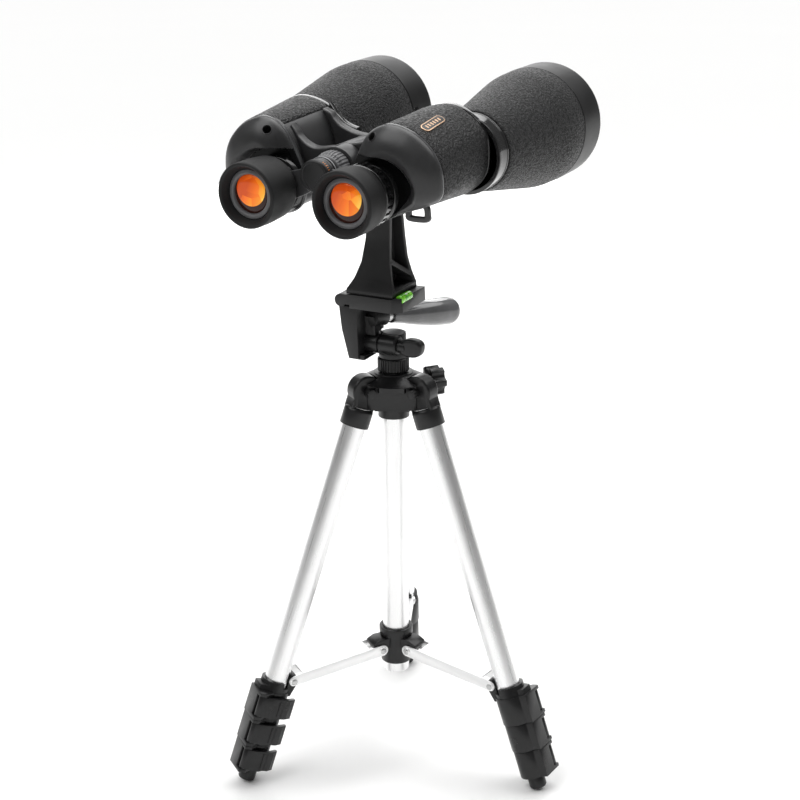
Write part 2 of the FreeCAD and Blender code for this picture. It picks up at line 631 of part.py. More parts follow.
# ------------------------------------------------------------------ binoculars
def housing_outlines():
    """The prism housing's outline at its rear seam and at its front, as (x, z)."""
    rear = [(22.9, 20.8), (34.5, 35.3), (50.2, 41.5), (68.5, 34.8), (81.4, 18.4), (81.5, 2.4),
            (66.6, -9.7), (50.0, -17.5), (34.0, -20.5), (20.5, -13.5), (16.5, 4.0)]
    front = [(23.0, 22.5), (34.0, 37.5), (51.4, 43.9), (69.4, 43.0), (87.0, 27.0), (88.0, 9.0),
             (75.1, -8.9), (55.0, -17.0), (35.0, -19.0), (21.5, -12.5), (17.5, 4.5)]
    return rear, front


def housing(side):
    """One prism housing with its rear cover, eyepiece socket, strap loop and hinge arms."""
    rear, front = housing_outlines()
    seam = smooth_face(rear, COVER_SEAM)
    body = Part.makeLoft([Part.Wire(seam), Part.Wire(smooth_face(front, HOUSING_FRONT))], True)
    cover_wire = Part.Wire(smooth_face(rear, COVER_REAR))
    cover = Part.Face(cover_wire).extrude(Vector(0, COVER_SEAM - COVER_REAR, 0))
    rim = [edge for edge in cover.Edges if edge.BoundBox.YMax < COVER_REAR + 0.01]
    cover = cover.makeFillet(COVER_ROUND, rim).cut(eye_recess())
    body = body.fuse([cover, strap_loop()])
    for low, high, crest in HINGE_ARMS[side]:
        body = body.fuse(hinge_arm(low, high, crest))
    eye_bore = cylinder(EYEPIECE_TUBE_R + RUNNING_CLEARANCE, (EYEPIECE_X, 0, 0), (EYEPIECE_X, 60, 0))
    screw_hole = cylinder(2.2, (37.2, 34, 36.5), (37.2, 46, 29.0))
    axle_bore = cylinder(AXLE_R + RUNNING_CLEARANCE, (0, 0, HINGE_Z), (0, 120, HINGE_Z))
    body = body.cut(fuse(eye_bore, screw_hole)).cut(axle_bore)
    return on_binoculars(mirrored(body, side))


def eye_recess():
    """The step in the rear cover: below it the cover lies back, flat around the eyepiece."""
    step = [(5, 23.6), (47, 23.2), (57, 17.2), (90, -10), (90, -40), (5, -40)]
    return prism([(x, 0, z) for x, z in step], (0, EYE_PLATE_Y, 0))


def hinge_arm(low, high, crest):
    """A curved saddle arm from the housing to its ring on the hinge axle."""
    ring = cylinder(HINGE_RING_R, (0, low, HINGE_Z), (0, high, HINGE_Z))
    upper = [(x, low, z) for x, z in crest]
    lower = [(34, low, HINGE_Z), (24, low, HINGE_Z - 15), (0, low, HINGE_Z - HINGE_RING_R)]
    return fuse(ring, prism(upper + lower, (0, high - low, 0)))


def strap_loop():
    """The square loop under the housing that the neck strap goes through."""
    loop = block((57.0, 43.0, -23.0), (71.5, 47.0, -5.0))
    return loop.cut(block((60.2, 40.0, -20.2), (68.3, 50.0, -14.6)))


def barrel(side):
    """One objective barrel: neck, cone, and hood with a rounded front lip."""
    wall = 2.0
    profile = [(NECK_R, NECK_START), (NECK_R, CONE_START), (38.3, CONE_END), (HOOD_R, CONE_END + 6),
               (HOOD_R, HOOD_FRONT - 1.6), (HOOD_R - 1.6, HOOD_FRONT), (HOOD_R - 3.2, HOOD_FRONT),
               (HOOD_R - 3.2, 209.0), (35.0, 209.0), (35.0, CONE_END), (NECK_R - wall, CONE_START + 2),
               (NECK_R - wall, NECK_START)]
    shell = turned(profile, Vector(OBJECTIVE_X, 0, OBJECTIVE_Z))
    flange = tube(NECK_R, 10.0, (OBJECTIVE_X, HOUSING_FRONT, OBJECTIVE_Z),
                  (OBJECTIVE_X, HOUSING_FRONT + 2, OBJECTIVE_Z))
    shell = fuse(shell, flange)
    body = shell.cut(block((0, 0, -100), (120, HOUSING_FRONT, 100)))
    return on_binoculars(mirrored(body, side))


def objective_lens(side):
    lens = turned([(0, 203.0), (34.9, 206.0), (34.9, 209.0), (0, 213.5)],
                  Vector(OBJECTIVE_X, 0, OBJECTIVE_Z))
    return on_binoculars(mirrored(lens, side))


def eyepiece(side):
    """One eyepiece: eyecup, barrel and focusing tube, with its arm to the bridge."""
    centre = Vector(EYEPIECE_X, 0, 0)
    barrel_r = 16.5 if side == "right" else 18.4
    profile = [(18.6, 0.0), (EYECUP_R, 1.6), (EYECUP_R, 15.0), (19.4, EYECUP_END), (barrel_r, EYECUP_END + 0.3),
               (barrel_r, 27.4), (17.2, 27.4), (17.2, 31.4), (EYEPIECE_TUBE_R, 31.4), (EYEPIECE_TUBE_R, 54.0),
               (10.0, 54.0), (10.0, 9.0), (EYE_LENS_R, 9.0), (EYE_LENS_R, 5.4), (15.2, 5.2), (16.6, 1.0),
               (17.4, 0.0)]
    body = turned(profile, centre)
    low, high = EYE_ARM_SPAN[side]
    reach = prism([(0, low, HINGE_Z + 7.5), (20, low, 12), (20, low, -9), (0, low, HINGE_Z - 7.5)],
                  (0, high - low, 0))
    ring = cylinder(EYE_ARM_R, (0, low, HINGE_Z), (0, high, HINGE_Z))
    arm = fuse(reach, ring).cut(cylinder(12.0, (EYEPIECE_X, 0, 0), (EYEPIECE_X, 60, 0)))
    body = body.fuse(arm)
    body = body.cut(cylinder(SPINDLE_R + RUNNING_CLEARANCE, (0, 0, HINGE_Z), (0, 60, HINGE_Z)))
    return on_binoculars(mirrored(body.removeSplitter(), side))


def eye_lens(side):
    lens = turned([(0, 4.4), (8.0, 4.9), (EYE_LENS_R, 6.2), (EYE_LENS_R, 9.0), (0, 9.0)],
                  Vector(EYEPIECE_X, 0, 0))
    return on_binoculars(mirrored(lens, side))


def diopter_ring():
    """The toothed ring that focuses the right eyepiece on its own."""
    centre_low = (EYEPIECE_X, 21.1, 0)
    centre_high = (EYEPIECE_X, 27.2, 0)
    ring = cylinder(18.9, centre_low, centre_high)
    teeth = 30
    for index in range(teeth):
        angle = 2 * math.pi * index / teeth
        x = EYEPIECE_X + math.cos(angle) * 19.3
        z = math.sin(angle) * 19.3
        ring = ring.cut(cylinder(1.0, (x, 21.9, z), (x, 28, z)))
    return on_binoculars(ring.cut(cylinder(16.5 + RUNNING_CLEARANCE, (EYEPIECE_X, 20, 0), (EYEPIECE_X, 28, 0))))


def eye_bridge():
    """The sliding centre of the eyepiece bridge: a cap and the spindle the arms turn on."""
    cap_low, cap_high = BRIDGE_CAP_SPAN
    band_low, band_high = BRIDGE_BAND_SPAN
    cap = cylinder(BRIDGE_CAP_R, (0, cap_low, HINGE_Z), (0, cap_high, HINGE_Z))
    cap = cap.makeFillet(1.0, [edge for edge in cap.Edges if edge.BoundBox.YMax < cap_low + 0.1])
    spindle = cylinder(SPINDLE_R, (0, cap_high, HINGE_Z), (0, band_high, HINGE_Z))
    band = cylinder(9.4, (0, band_low, HINGE_Z), (0, band_high, HINGE_Z))
    rod_bore = cylinder(3.05, (0, 28.3, HINGE_Z), (0, 40.0, HINGE_Z))
    return on_binoculars(fuse(cap, spindle, band).cut(rod_bore))


def focus_wheel():
    """The focus wheel: a plain marked band and a ribbed grip."""
    low, high = WHEEL_SPAN
    band = cylinder(WHEEL_R - 0.9, (0, low, HINGE_Z), (0, low + 4.2, HINGE_Z))
    grip = cylinder(WHEEL_R, (0, low + 4.2, HINGE_Z), (0, high, HINGE_Z))
    ribs = 28
    for index in range(ribs):
        angle = 2 * math.pi * index / ribs
        x = math.cos(angle) * (WHEEL_R + 0.2)
        z = HINGE_Z + math.sin(angle) * (WHEEL_R + 0.2)
        grip = grip.cut(cylinder(0.7, (x, low + 5.4, z), (x, high - 1.0, z)))
    bore = cylinder(AXLE_R + RUNNING_CLEARANCE, (0, low - 1, HINGE_Z), (0, high + 1, HINGE_Z))
    return on_binoculars(fuse(band, grip).cut(bore))


def hinge_axle():
    """The centre axle, with the focusing rod behind and the adapter socket in front."""
    shaft = cylinder(AXLE_R, (0, WHEEL_SPAN[0], HINGE_Z), (0, 96.4, HINGE_Z))
    rod = cylinder(3.0, (0, 30.0, HINGE_Z), (0, WHEEL_SPAN[0], HINGE_Z))
    boss = cylinder(8.0, (0, 95.8, HINGE_Z), (0, 101.2, HINGE_Z))
    socket = cylinder(3.25, (0, 86.0, HINGE_Z), (0, 102.0, HINGE_Z))
    return on_binoculars(fuse(shaft, rod, boss).cut(socket))


def build_binoculars():
    for side in SIDES:
        save(side + "_housing", housing(side))
        save(side + "_barrel", barrel(side))
        save(side + "_objective_lens", objective_lens(side))
        save(side + "_eyepiece", eyepiece(side))
        save(side + "_eye_lens", eye_lens(side))
    save("diopter_ring", diopter_ring())
    save("eye_bridge", eye_bridge())
    save("focus_wheel", focus_wheel())
    save("hinge_axle", hinge_axle())


os.makedirs("parts", exist_ok=True)
build_tripod()
build_head()
build_binoculars()
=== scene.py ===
"""Looks of large binoculars on an L-adapter, a pan-and-tilt head and a small tripod.

Sizes are in millimetres, in the frame of the part that they belong to.  The frame's
matrix turns them into metres, in the row frame.
"""
import json
import math

import bmesh
import bpy
from mathutils import Matrix, Vector


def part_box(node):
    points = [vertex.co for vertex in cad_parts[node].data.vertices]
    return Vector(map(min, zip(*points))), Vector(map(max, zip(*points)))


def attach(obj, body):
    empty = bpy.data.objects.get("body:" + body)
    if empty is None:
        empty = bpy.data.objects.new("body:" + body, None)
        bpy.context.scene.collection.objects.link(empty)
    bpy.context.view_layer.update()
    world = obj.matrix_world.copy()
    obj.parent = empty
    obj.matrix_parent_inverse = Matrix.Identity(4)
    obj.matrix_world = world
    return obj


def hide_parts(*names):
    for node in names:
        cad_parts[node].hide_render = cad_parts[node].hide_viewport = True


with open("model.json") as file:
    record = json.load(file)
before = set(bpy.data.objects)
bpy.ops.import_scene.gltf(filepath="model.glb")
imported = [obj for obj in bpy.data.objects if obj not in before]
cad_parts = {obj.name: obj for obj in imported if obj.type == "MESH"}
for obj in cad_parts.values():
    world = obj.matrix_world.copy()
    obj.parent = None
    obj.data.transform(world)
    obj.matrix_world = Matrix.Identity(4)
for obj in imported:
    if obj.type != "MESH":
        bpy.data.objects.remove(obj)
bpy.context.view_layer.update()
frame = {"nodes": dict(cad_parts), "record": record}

MM = 0.001
AXIS_Y = Vector((0, 1, 0))
AXIS_Z = Vector((0, 0, 1))

# ---- camera values
AIM = Vector((-9.5, 2.2, 267.2)) * MM
DISTANCE = 1.0
AZIMUTH = 29.92
ELEVATION = 18.22
ROLL = -0.48
LENS = 64.87

# ---- part values
TILT_AXIS = Vector((0.0, -8.0, 309.5))
REST_PITCH = 3.6
HANDLE_START = Vector((-9.0, 5.0, 17.0))
HANDLE_END = Vector((8.0, 80.2, 1.5))
LEG_AZIMUTHS = {"rear": 116.1, "left": 236.1, "right": 356.1}
BRACE_INNER = (14.5, 80.4)
BRACE_OUTER = (84.2, 73.0)
BRACE_HALF_WIDTH = 8.1
LEG_LEAN = 19.6
COLLAR_SPAN = (288.9, 299.0)
PAN_CAP_TOP = 317.0
BARREL_SLEEVE_R = 6.9
VIAL_PLACE = Vector((18.7, -6.5, 37.4))
VIAL_R = 2.9
VIAL_END = 6.7
FLARE_WIDTH = 4.5
FLARE_TOP = 92.0
FLARE_RUN = 52.0
FLARE_FRONT = 4.0
FLARE_SIDE = 15.5

BINOCULAR_ORIGIN = Vector((0.0, -102.5, 122.6))
EYEPIECE_X = 33.95
EYEPIECE = Vector((EYEPIECE_X, 0, 0))
OBJECTIVE = Vector((65.1, 0.0, 12.3))
HINGE_Z = 9.0
HINGE = Vector((0, 0, HINGE_Z))
COVER_SEAM = 39.5
COVER_REAR = 28.5
EYE_PLATE_Y = 36.0
HOUSING_FRONT = 98.0
LOOP_SHIFT = (-4.0, 5.4)
SCREW_PLACE = (37.2, 34.3)
SCREW_R = 2.7
HOOD_SEAM = 196.0
WHEEL_SPAN = (38.3, 49.8)
MARKS_Y = 28.0
REAR_RING_END = 63.1
HOUSING_INNER_X = 16.5
BADGE_PLACE = Vector((63.6, 60.7))
SIDES = {"left": -1, "right": 1}
OUTER_EDGE = [(46.5, 41.2), (62.0, 37.6), (74.0, 29.0), (80.6, 18.8), (82.6, 7.4), (80.6, -1.0), (71.0, -6.8),
              (54.8, -12.0), (46.5, -15.5)]
COVER_OUTLINE = [(22.9, 20.8), (32.5, 35.5), *OUTER_EDGE, (34.0, -19.5), (20.5, -13.5), (16.5, 4.0)]
REAR_OUTLINE = [(26.0, 20.9), (35.5, 35.5), *OUTER_EDGE, (35.0, -19.0), (24.0, -13.0), (22.0, 4.0)]
FRONT_OUTLINE = [(25.5, 23.5), (34.5, 38.0), (51.4, 43.9), (66.0, 43.4), (79.0, 36.0), (87.0, 27.0),
                 (88.4, 14.0), (86.0, 2.0), (76.0, -8.6), (62.0, -14.6), (50.0, -17.4), (36.0, -18.7),
                 (24.0, -12.0), (22.0, 4.5)]
RECESS = [(5.0, 23.3), (23.6, 23.0), (35.0, 23.0), (44.0, 22.9), (50.0, 21.6), (54.5, 19.6), (59.5, 16.3),
          (63.3, 12.6), (65.8, 8.6), (66.8, 4.6), (66.4, 0.2), (64.6, -3.8), (61.5, -7.0), (56.0, -11.0),
          (50.0, -16.0), (44.0, -30.0), (5.0, -30.0)]
COVER_SHOULDER = 14.0
HOUSING_WIDTH = {"left": (0.89, 0.86), "right": (0.97, 0.93)}
HINGE_RING_R = 13.6
REAR_CREST = [(0, 22.8), (6.7, 22.0), (11.7, 21.3), (16.6, 21.5), (22.0, 23.7), (26.2, 27.1),
              (28.7, 30.8), (31.5, 34.6)]
WEB_CREST = [(0, 22.0), (5, 22.6), (11, 23.6), (17, 25.4), (23, 28.4), (29, 32.0), (36, 35.0)]
FRONT_CREST = [(0, 22.6), (6, 23.3), (11, 24.4), (15.5, 26.0), (20.5, 28.4), (24.2, 31.8),
               (27, 35.6), (31.6, 38)]
HINGE_ARMS = {"left": (("rear", 50.2, 58.0, REAR_CREST), ("front", 88.0, 95.3, FRONT_CREST)),
              "right": (("web", 63.4, 87.7, WEB_CREST),)}
FLANGE_CREST = [(0, 23.4), (6.7, 24.4), (11.7, 25.2), (16.6, 26.6), (21.6, 29.0), (25.8, 32.6),
                (28.7, 36.6), (31.6, 40.4)]
FLANGE_SPAN = (95.6, 100.6)
EYE_ARM_SPAN = {"left": (29.4, 31.6), "right": (31.8, 34.0)}

# ---- frames
COLUMN = sum(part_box("centre_tube"), Vector()) / 2
COLUMN.z = 0.0
SCALE = Matrix.Diagonal((MM, MM, MM, 1.0))
STAND = Matrix.Translation(COLUMN) @ SCALE
TILT = STAND @ Matrix.Translation(TILT_AXIS) @ Matrix.Rotation(math.radians(REST_PITCH), 4, "X")
BINOCULARS = TILT @ Matrix.Translation(BINOCULAR_ORIGIN)
MIRROR = Matrix.Diagonal((-1.0, 1.0, 1.0, 1.0))


def on_side(side):
    """The binoculars' frame, mirrored for the left half."""
    return BINOCULARS @ MIRROR if SIDES[side] < 0 else BINOCULARS


# ---- materials
class Finish:
    """A Principled material, with procedural layers in the object's own coordinates."""

    def __init__(self, name, color, roughness, metallic=0.0, **sockets):
        self.material = bpy.data.materials.new(name)
        self.material.use_nodes = True
        self.tree = self.material.node_tree
        self.shader = self.tree.nodes["Principled BSDF"]
        self.shader.inputs["Base Color"].default_value = (*color, 1.0)
        self.shader.inputs["Roughness"].default_value = roughness
        self.shader.inputs["Metallic"].default_value = metallic
        for key, value in sockets.items():
            self.shader.inputs[key.replace("_", " ")].default_value = value
        self.normal = None
        self.place = self.tree.nodes.new("ShaderNodeTexCoord").outputs["Object"]

    def node(self, kind, **settings):
        made = self.tree.nodes.new(kind)
        for key, value in settings.items():
            setattr(made, key, value)
        return made

    def link(self, source, target):
        self.tree.links.new(source, target)

    def stretched(self, direction, factor):
        """Coordinates squeezed along a direction, so that a pattern runs along it."""
        turn = AXIS_Z.rotation_difference(Vector(direction)).inverted().to_euler()
        rotate = self.node("ShaderNodeMapping")
        rotate.inputs["Rotation"].default_value = turn
        squeeze = self.node("ShaderNodeMapping")
        squeeze.inputs["Scale"].default_value = (1.0, 1.0, factor)
        self.link(self.place, rotate.inputs["Vector"])
        self.link(rotate.outputs["Vector"], squeeze.inputs["Vector"])
        return squeeze.outputs["Vector"]

    def noise(self, scale, detail=3.0, place=None):
        texture = self.node("ShaderNodeTexNoise")
        texture.inputs["Scale"].default_value = scale
        texture.inputs["Detail"].default_value = detail
        self.link(place or self.place, texture.inputs["Vector"])
        return texture.outputs["Fac"]

    def wobbled(self, scale, amount):
        """Coordinates pushed about by noise, so that cells lose their straight sides."""
        texture = self.node("ShaderNodeTexNoise")
        texture.inputs["Scale"].default_value = scale
        self.link(self.place, texture.inputs["Vector"])
        push = self.node("ShaderNodeVectorMath", operation="MULTIPLY_ADD")
        push.inputs[1].default_value = (amount, amount, amount)
        self.link(texture.outputs["Color"], push.inputs[0])
        self.link(self.place, push.inputs[2])
        return push.outputs["Vector"]

    def cells(self, scale, place=None, feature="F1"):
        texture = self.node("ShaderNodeTexVoronoi", feature=feature)
        texture.inputs["Scale"].default_value = scale
        self.link(place or self.place, texture.inputs["Vector"])
        return texture.outputs["Distance"]

    def ramp(self, source, stops):
        """Maps a value to the colours or numbers of (position, colour) stops."""
        made = self.node("ShaderNodeValToRGB")
        elements = made.color_ramp.elements
        while len(elements) < len(stops):
            elements.new(0.5)
        for element, (position, value) in zip(elements, stops):
            element.position = position
            color = value if isinstance(value, tuple) else (value, value, value)
            element.color = (*color, 1.0)
        self.link(source, made.inputs["Fac"])
        return made.outputs["Color"]

    def blended(self, first, second, share):
        made = self.node("ShaderNodeMix", data_type="FLOAT")
        made.inputs["Factor"].default_value = share
        self.link(first, made.inputs["A"])
        self.link(second, made.inputs["B"])
        return made.outputs["Result"]

    def color(self, source, stops):
        self.link(self.ramp(source, stops), self.shader.inputs["Base Color"])

    def glow(self, source, stops, strength):
        self.link(self.ramp(source, stops), self.shader.inputs["Emission Color"])
        self.shader.inputs["Emission Strength"].default_value = strength

    def roughness(self, source, low, high):
        self.link(self.ramp(source, [(0.3, low), (0.7, high)]), self.shader.inputs["Roughness"])

    def bump(self, source, depth, strength=1.0):
        """Adds relief of a depth in millimetres over what is there already."""
        made = self.node("ShaderNodeBump")
        made.inputs["Distance"].default_value = depth * MM
        made.inputs["Strength"].default_value = strength
        self.link(source, made.inputs["Height"])
        if self.normal:
            self.link(self.normal, made.inputs["Normal"])
        self.normal = made.outputs["Normal"]
        self.link(self.normal, self.shader.inputs["Normal"])


def plastic(name, shade, roughness, grain=0.02, coat=0.0, gloss=0.35):
    """A moulded plastic: a fine spark-eroded grain, and wide soft changes in gloss."""
    tint = (shade, shade, shade * 1.03)
    made = Finish(name, tint, roughness, Coat_Weight=coat, Coat_Roughness=0.12, Specular_IOR_Level=gloss)
    broad = made.noise(60.0)
    made.color(broad, [(0.3, tuple(part * 0.82 for part in tint)), (0.7, tuple(part * 1.2 for part in tint))])
    made.roughness(broad, roughness * 0.88, roughness * 1.12)
    made.bump(made.noise(2600.0, 2.0), grain, 0.5)
    return made.material


def leatherette(name, dark, light, cell=1.3):
    """Pebbled leatherette: uneven glossy grains with painted highlight on top and painted shade in the
    valleys.
    """
    made = Finish(name, (dark, dark, dark), 0.5, Specular_IOR_Level=0.34)
    warped = made.wobbled(700.0, 0.8 * MM)
    grains = made.cells(1.0 / (cell * MM), warped, "SMOOTH_F1")
    fine = made.cells(1.9 / (cell * MM), warped, "F1")
    height = made.blended(grains, fine, 0.3)
    relief = made.ramp(height, [(0.05, 1.0), (0.34, 0.72), (0.6, 0.0)])
    # painted highlight and shade: grain tops take the light colour, valleys the dark one
    made.color(height, [(0.1, (light, light, light * 1.03)), (0.5, (dark, dark, dark * 1.04))])
    made.roughness(height, 0.36, 0.68)
    made.bump(made.noise(160.0), 0.25, 0.4)
    made.bump(relief, 0.7, 1.0)
    return made.material


def brushed(name, direction, shade=0.86, roughness=0.3):
    """Satin anodised aluminium with fine drawing lines along the tube."""
    made = Finish(name, (shade, shade, shade * 1.01), roughness, 1.0)
    along = made.stretched(direction, 0.02)
    lines = made.noise(1500.0, 4.0, along)
    made.color(made.noise(25.0), [(0.35, (shade * 0.97,) * 3), (0.65, (shade * 1.02,) * 3)])
    made.roughness(lines, roughness * 0.85, roughness * 1.2)
    made.bump(lines, 0.006, 0.5)
    return made.material


# Colours of the eyepiece lens's painted glow, from dark red to bright amber.
LENS_GLOW_TONES = [(0.0, (0.5, 0.06, 0.004)), (0.3, (0.74, 0.14, 0.008)), (0.5, (0.8, 0.24, 0.015)),
              (0.68, (0.88, 0.36, 0.03)), (0.85, (0.95, 0.6, 0.1))]


def lens_finish(side):
    """A coated eyepiece lens with painted light: glowing prism faces in orange tones over a painted dark
    crescent of shade.
    """
    made = Finish(side + "_eye_lens_glass", (0.9, 0.25, 0.03), 0.06, Specular_IOR_Level=0.3)
    middle = BINOCULARS @ Vector((SIDES[side] * EYEPIECE_X + 0.6, 4.7, 3.0))
    local = made.node("ShaderNodeVectorMath", operation="SUBTRACT")
    local.inputs[1].default_value = middle
    made.link(made.place, local.inputs[0])
    facets = made.node("ShaderNodeTexVoronoi", feature="F1")
    facets.inputs["Scale"].default_value = 125.0
    made.link(made.place, facets.inputs["Vector"])
    shift = made.node("ShaderNodeSeparateColor")
    made.link(facets.outputs["Color"], shift.inputs["Color"])
    across = made.node("ShaderNodeVectorMath", operation="DOT_PRODUCT")
    across.inputs[1].default_value = Vector((0.9, 0.0, -0.45)) / (22 * MM)
    made.link(local.outputs["Vector"], across.inputs[0])
    place = made.node("ShaderNodeMath", operation="MULTIPLY_ADD")
    place.inputs[1].default_value = 0.36
    made.link(shift.outputs["Red"], place.inputs[0])
    made.link(across.outputs["Value"], place.inputs[2])
    tones = made.ramp(place.outputs["Value"], LENS_GLOW_TONES)
    reach = made.node("ShaderNodeVectorMath", operation="LENGTH")
    made.link(local.outputs["Vector"], reach.inputs[0])
    # painted shade: outside a disc set a little above the lens's middle, the lens turns near-black in a dark
    # crescent
    crescent_shade = made.node("ShaderNodeMapRange")
    crescent_shade.inputs["From Min"].default_value = 10.2 * MM
    crescent_shade.inputs["From Max"].default_value = 10.5 * MM
    made.link(reach.outputs["Value"], crescent_shade.inputs["Value"])
    both = made.node("ShaderNodeMix", data_type="RGBA")
    made.link(crescent_shade.outputs["Result"], both.inputs["Factor"])
    made.link(tones, both.inputs[6])
    both.inputs[7].default_value = (0.018, 0.004, 0.002, 1.0)
    made.link(both.outputs[2], made.shader.inputs["Base Color"])
    # painted glow: the same colours drive the emission, so the lens glows though it is no lamp
    made.link(both.outputs[2], made.shader.inputs["Emission Color"])
    made.shader.inputs["Emission Strength"].default_value = 0.4
    return made.material


def metal(name, shade, roughness, tint=1.0):
    """Cast or turned metal with faint uneven polish."""
    made = Finish(name, (shade, shade * tint, shade * tint * tint), roughness, 1.0)
    made.roughness(made.noise(220.0), roughness * 0.8, roughness * 1.25)
    made.bump(made.noise(900.0), 0.01, 0.4)
    return made.material


BLACK_PLASTIC = plastic("black_plastic", 0.01, 0.34, 0.012)
ADAPTER_PLASTIC = plastic("adapter_plastic", 0.012, 0.42, 0.03)
LEG_PLASTIC = plastic("leg_plastic", 0.01, 0.3, 0.01)
CAP_PLASTIC = plastic("cap_plastic", 0.16, 0.4, 0.01)
WHEEL_PLASTIC = plastic("wheel_plastic", 0.12, 0.32, 0.01)
BRIDGE_PAINT = plastic("bridge_paint", 0.018, 0.45, 0.02)
BRIGHT_LINE = plastic("bright_line", 0.45, 0.25, 0.01)
COVER_PAINT = plastic("cover_paint", 0.022, 0.38, 0.02, 0.0, 0.45)
# glossy black of the recess round the eyepiece, darker and less reflective than the cover: partly its paint,
# partly painted shade
PLATE_BLACK_AND_SHADE = plastic("plate_black_and_shade", 0.003, 0.22, 0.006, 0.0, 0.12)
CASTING_PAINT = plastic("casting_paint", 0.03, 0.34, 0.02, 0.0, 0.5)
RIM_PAINT = plastic("rim_paint", 0.06, 0.22, 0.01, 0.3)
GLOSS_PAINT = plastic("gloss_paint", 0.009, 0.12, 0.004, 0.6)
HOOD_PAINT = plastic("hood_paint", 0.012, 0.38, 0.012, 0.0, 0.3)
# matte near-black: the baffle's own black, and painted shade inside the screw well
BAFFLE_BLACK_AND_WELL_SHADE = plastic("baffle_black_and_well_shade", 0.006, 0.8, 0.05)
EYECUP_RUBBER = plastic("eyecup_rubber", 0.009, 0.6, 0.05, 0.0, 0.28)
EYE_RING = plastic("eye_ring", 0.11, 0.38, 0.01)
GRIP_PLASTIC = plastic("grip_plastic", 0.1, 0.22, 0.01, 0.6, 0.5)
HOUSING_SKIN = leatherette("housing_skin", 0.003, 0.021, 1.5)
BARREL_SKIN = leatherette("barrel_skin", 0.004, 0.026)
SHEET_ALUMINIUM = brushed("sheet_aluminium", (1, 0, 0), 0.9, 0.42)
STEEL = metal("steel", 0.55, 0.28)
BRASS = metal("badge_brass", 0.5, 0.35, 0.68)


# ---- mesh making
def clamped(value):
    """A value held between 0 and 1."""
    return min(1.0, max(0.0, value))


def squared(value, power):
    """A sine or cosine with its swing filled out, for an oval with fuller corners."""
    return math.copysign(abs(value) ** power, value)


def soften(points, rounding=0.5, steps=4):
    """Rounds the corners of a profile; a point's third number is its own rounding."""
    result = [Vector(points[0][:2])]
    for before, here, after in zip(points, points[1:], points[2:]):
        corner = Vector(here[:2])
        into = Vector(before[:2]) - corner
        out = Vector(after[:2]) - corner
        size = here[2] if len(here) > 2 else rounding
        first = corner + into.normalized() * min(size, into.length * 0.45)
        last = corner + out.normalized() * min(size, out.length * 0.45)
        for index in range(steps + 1):
            t = index / steps
            result.append(first * (1 - t) ** 2 + corner * 2 * t * (1 - t) + last * t ** 2)
    result.append(Vector(points[-1][:2]))
    return result


def through(points, count):
    """Evenly counted points on a smooth open curve through 2-D points."""
    ends = [points[0], *points, points[-1]]
    return catmull(ends, count, len(points) - 1)


def around(points, count):
    """Evenly counted points on a smooth closed curve through 2-D points."""
    ends = [points[-1], *points, points[0], points[1]]
    return catmull(ends, count, len(points))[:-1]


def catmull(ends, count, spans):
    """Points on the Catmull-Rom curve through all but the outermost of the ends."""
    result = []
    for index in range(count + 1):
        place = min(index * spans / count, spans - 1e-9)
        first = int(place)
        t = place - first
        a, b, c, d = [Vector(point) for point in ends[first:first + 4]]
        result.append(0.5 * (2 * b + (c - a) * t + (2 * a - 5 * b + 4 * c - d) * t ** 2
                             + (3 * b - a - 3 * c + d) * t ** 3))
    return result


def inset(loop, distance):
    """A closed loop of 2-D points, moved inwards."""
    count = len(loop)
    turning = sum(a.cross(b) for a, b in zip(loop, loop[1:] + loop[:1]))
    inward = 1 if turning > 0 else -1
    moved = []
    for index, point in enumerate(loop):
        run = loop[(index + 1) % count] - loop[index - 1]
        normal = Vector((-run.y, run.x)).normalized() * inward
        moved.append(point + normal * distance)
    return moved


def skin_rows(bm, rows, closed):
    """Joins rows of points with quads; closed joins each row's end to its start."""
    made = [[bm.verts.new(point) for point in row] for row in rows]
    for first, second in zip(made, made[1:]):
        count = len(first)
        for index in range(count if closed else count - 1):
            after = (index + 1) % count
            bm.faces.new((first[index], first[after], second[after], second[index]))
    return made


def loft(rows):
    """Skins closed rows of points, with a face over each end."""
    bm = bmesh.new()
    made = skin_rows(bm, rows, True)
    bm.faces.new(made[0][::-1])
    bm.faces.new(made[-1])
    bmesh.ops.recalc_face_normals(bm, faces=bm.faces)
    return bm


def lathe(profile, steps=96, centre=Vector(), ripple=None):
    """Turns (radius, along) points about the y axis through a centre."""
    bm = bmesh.new()
    rings = []
    for radius, along in profile:
        if radius < 1e-6:
            rings.append([bm.verts.new(centre + AXIS_Y * along)])
            continue
        ring = []
        for step in range(steps):
            angle = 2 * math.pi * step / steps
            reach = radius + (ripple(angle, radius, along) if ripple else 0.0)
            offset = Vector((reach * math.cos(angle), along, reach * math.sin(angle)))
            ring.append(bm.verts.new(centre + offset))
        rings.append(ring)
    for first, second in zip(rings, rings[1:]):
        for index in range(steps):
            after = (index + 1) % steps
            corners = [first[index % len(first)], first[after % len(first)],
                       second[after % len(second)], second[index % len(second)]]
            corners = [v for n, v in enumerate(corners) if v not in corners[:n]]
            if len(corners) > 2:
                bm.faces.new(corners)
    bmesh.ops.recalc_face_normals(bm, faces=bm.faces)
    return bm


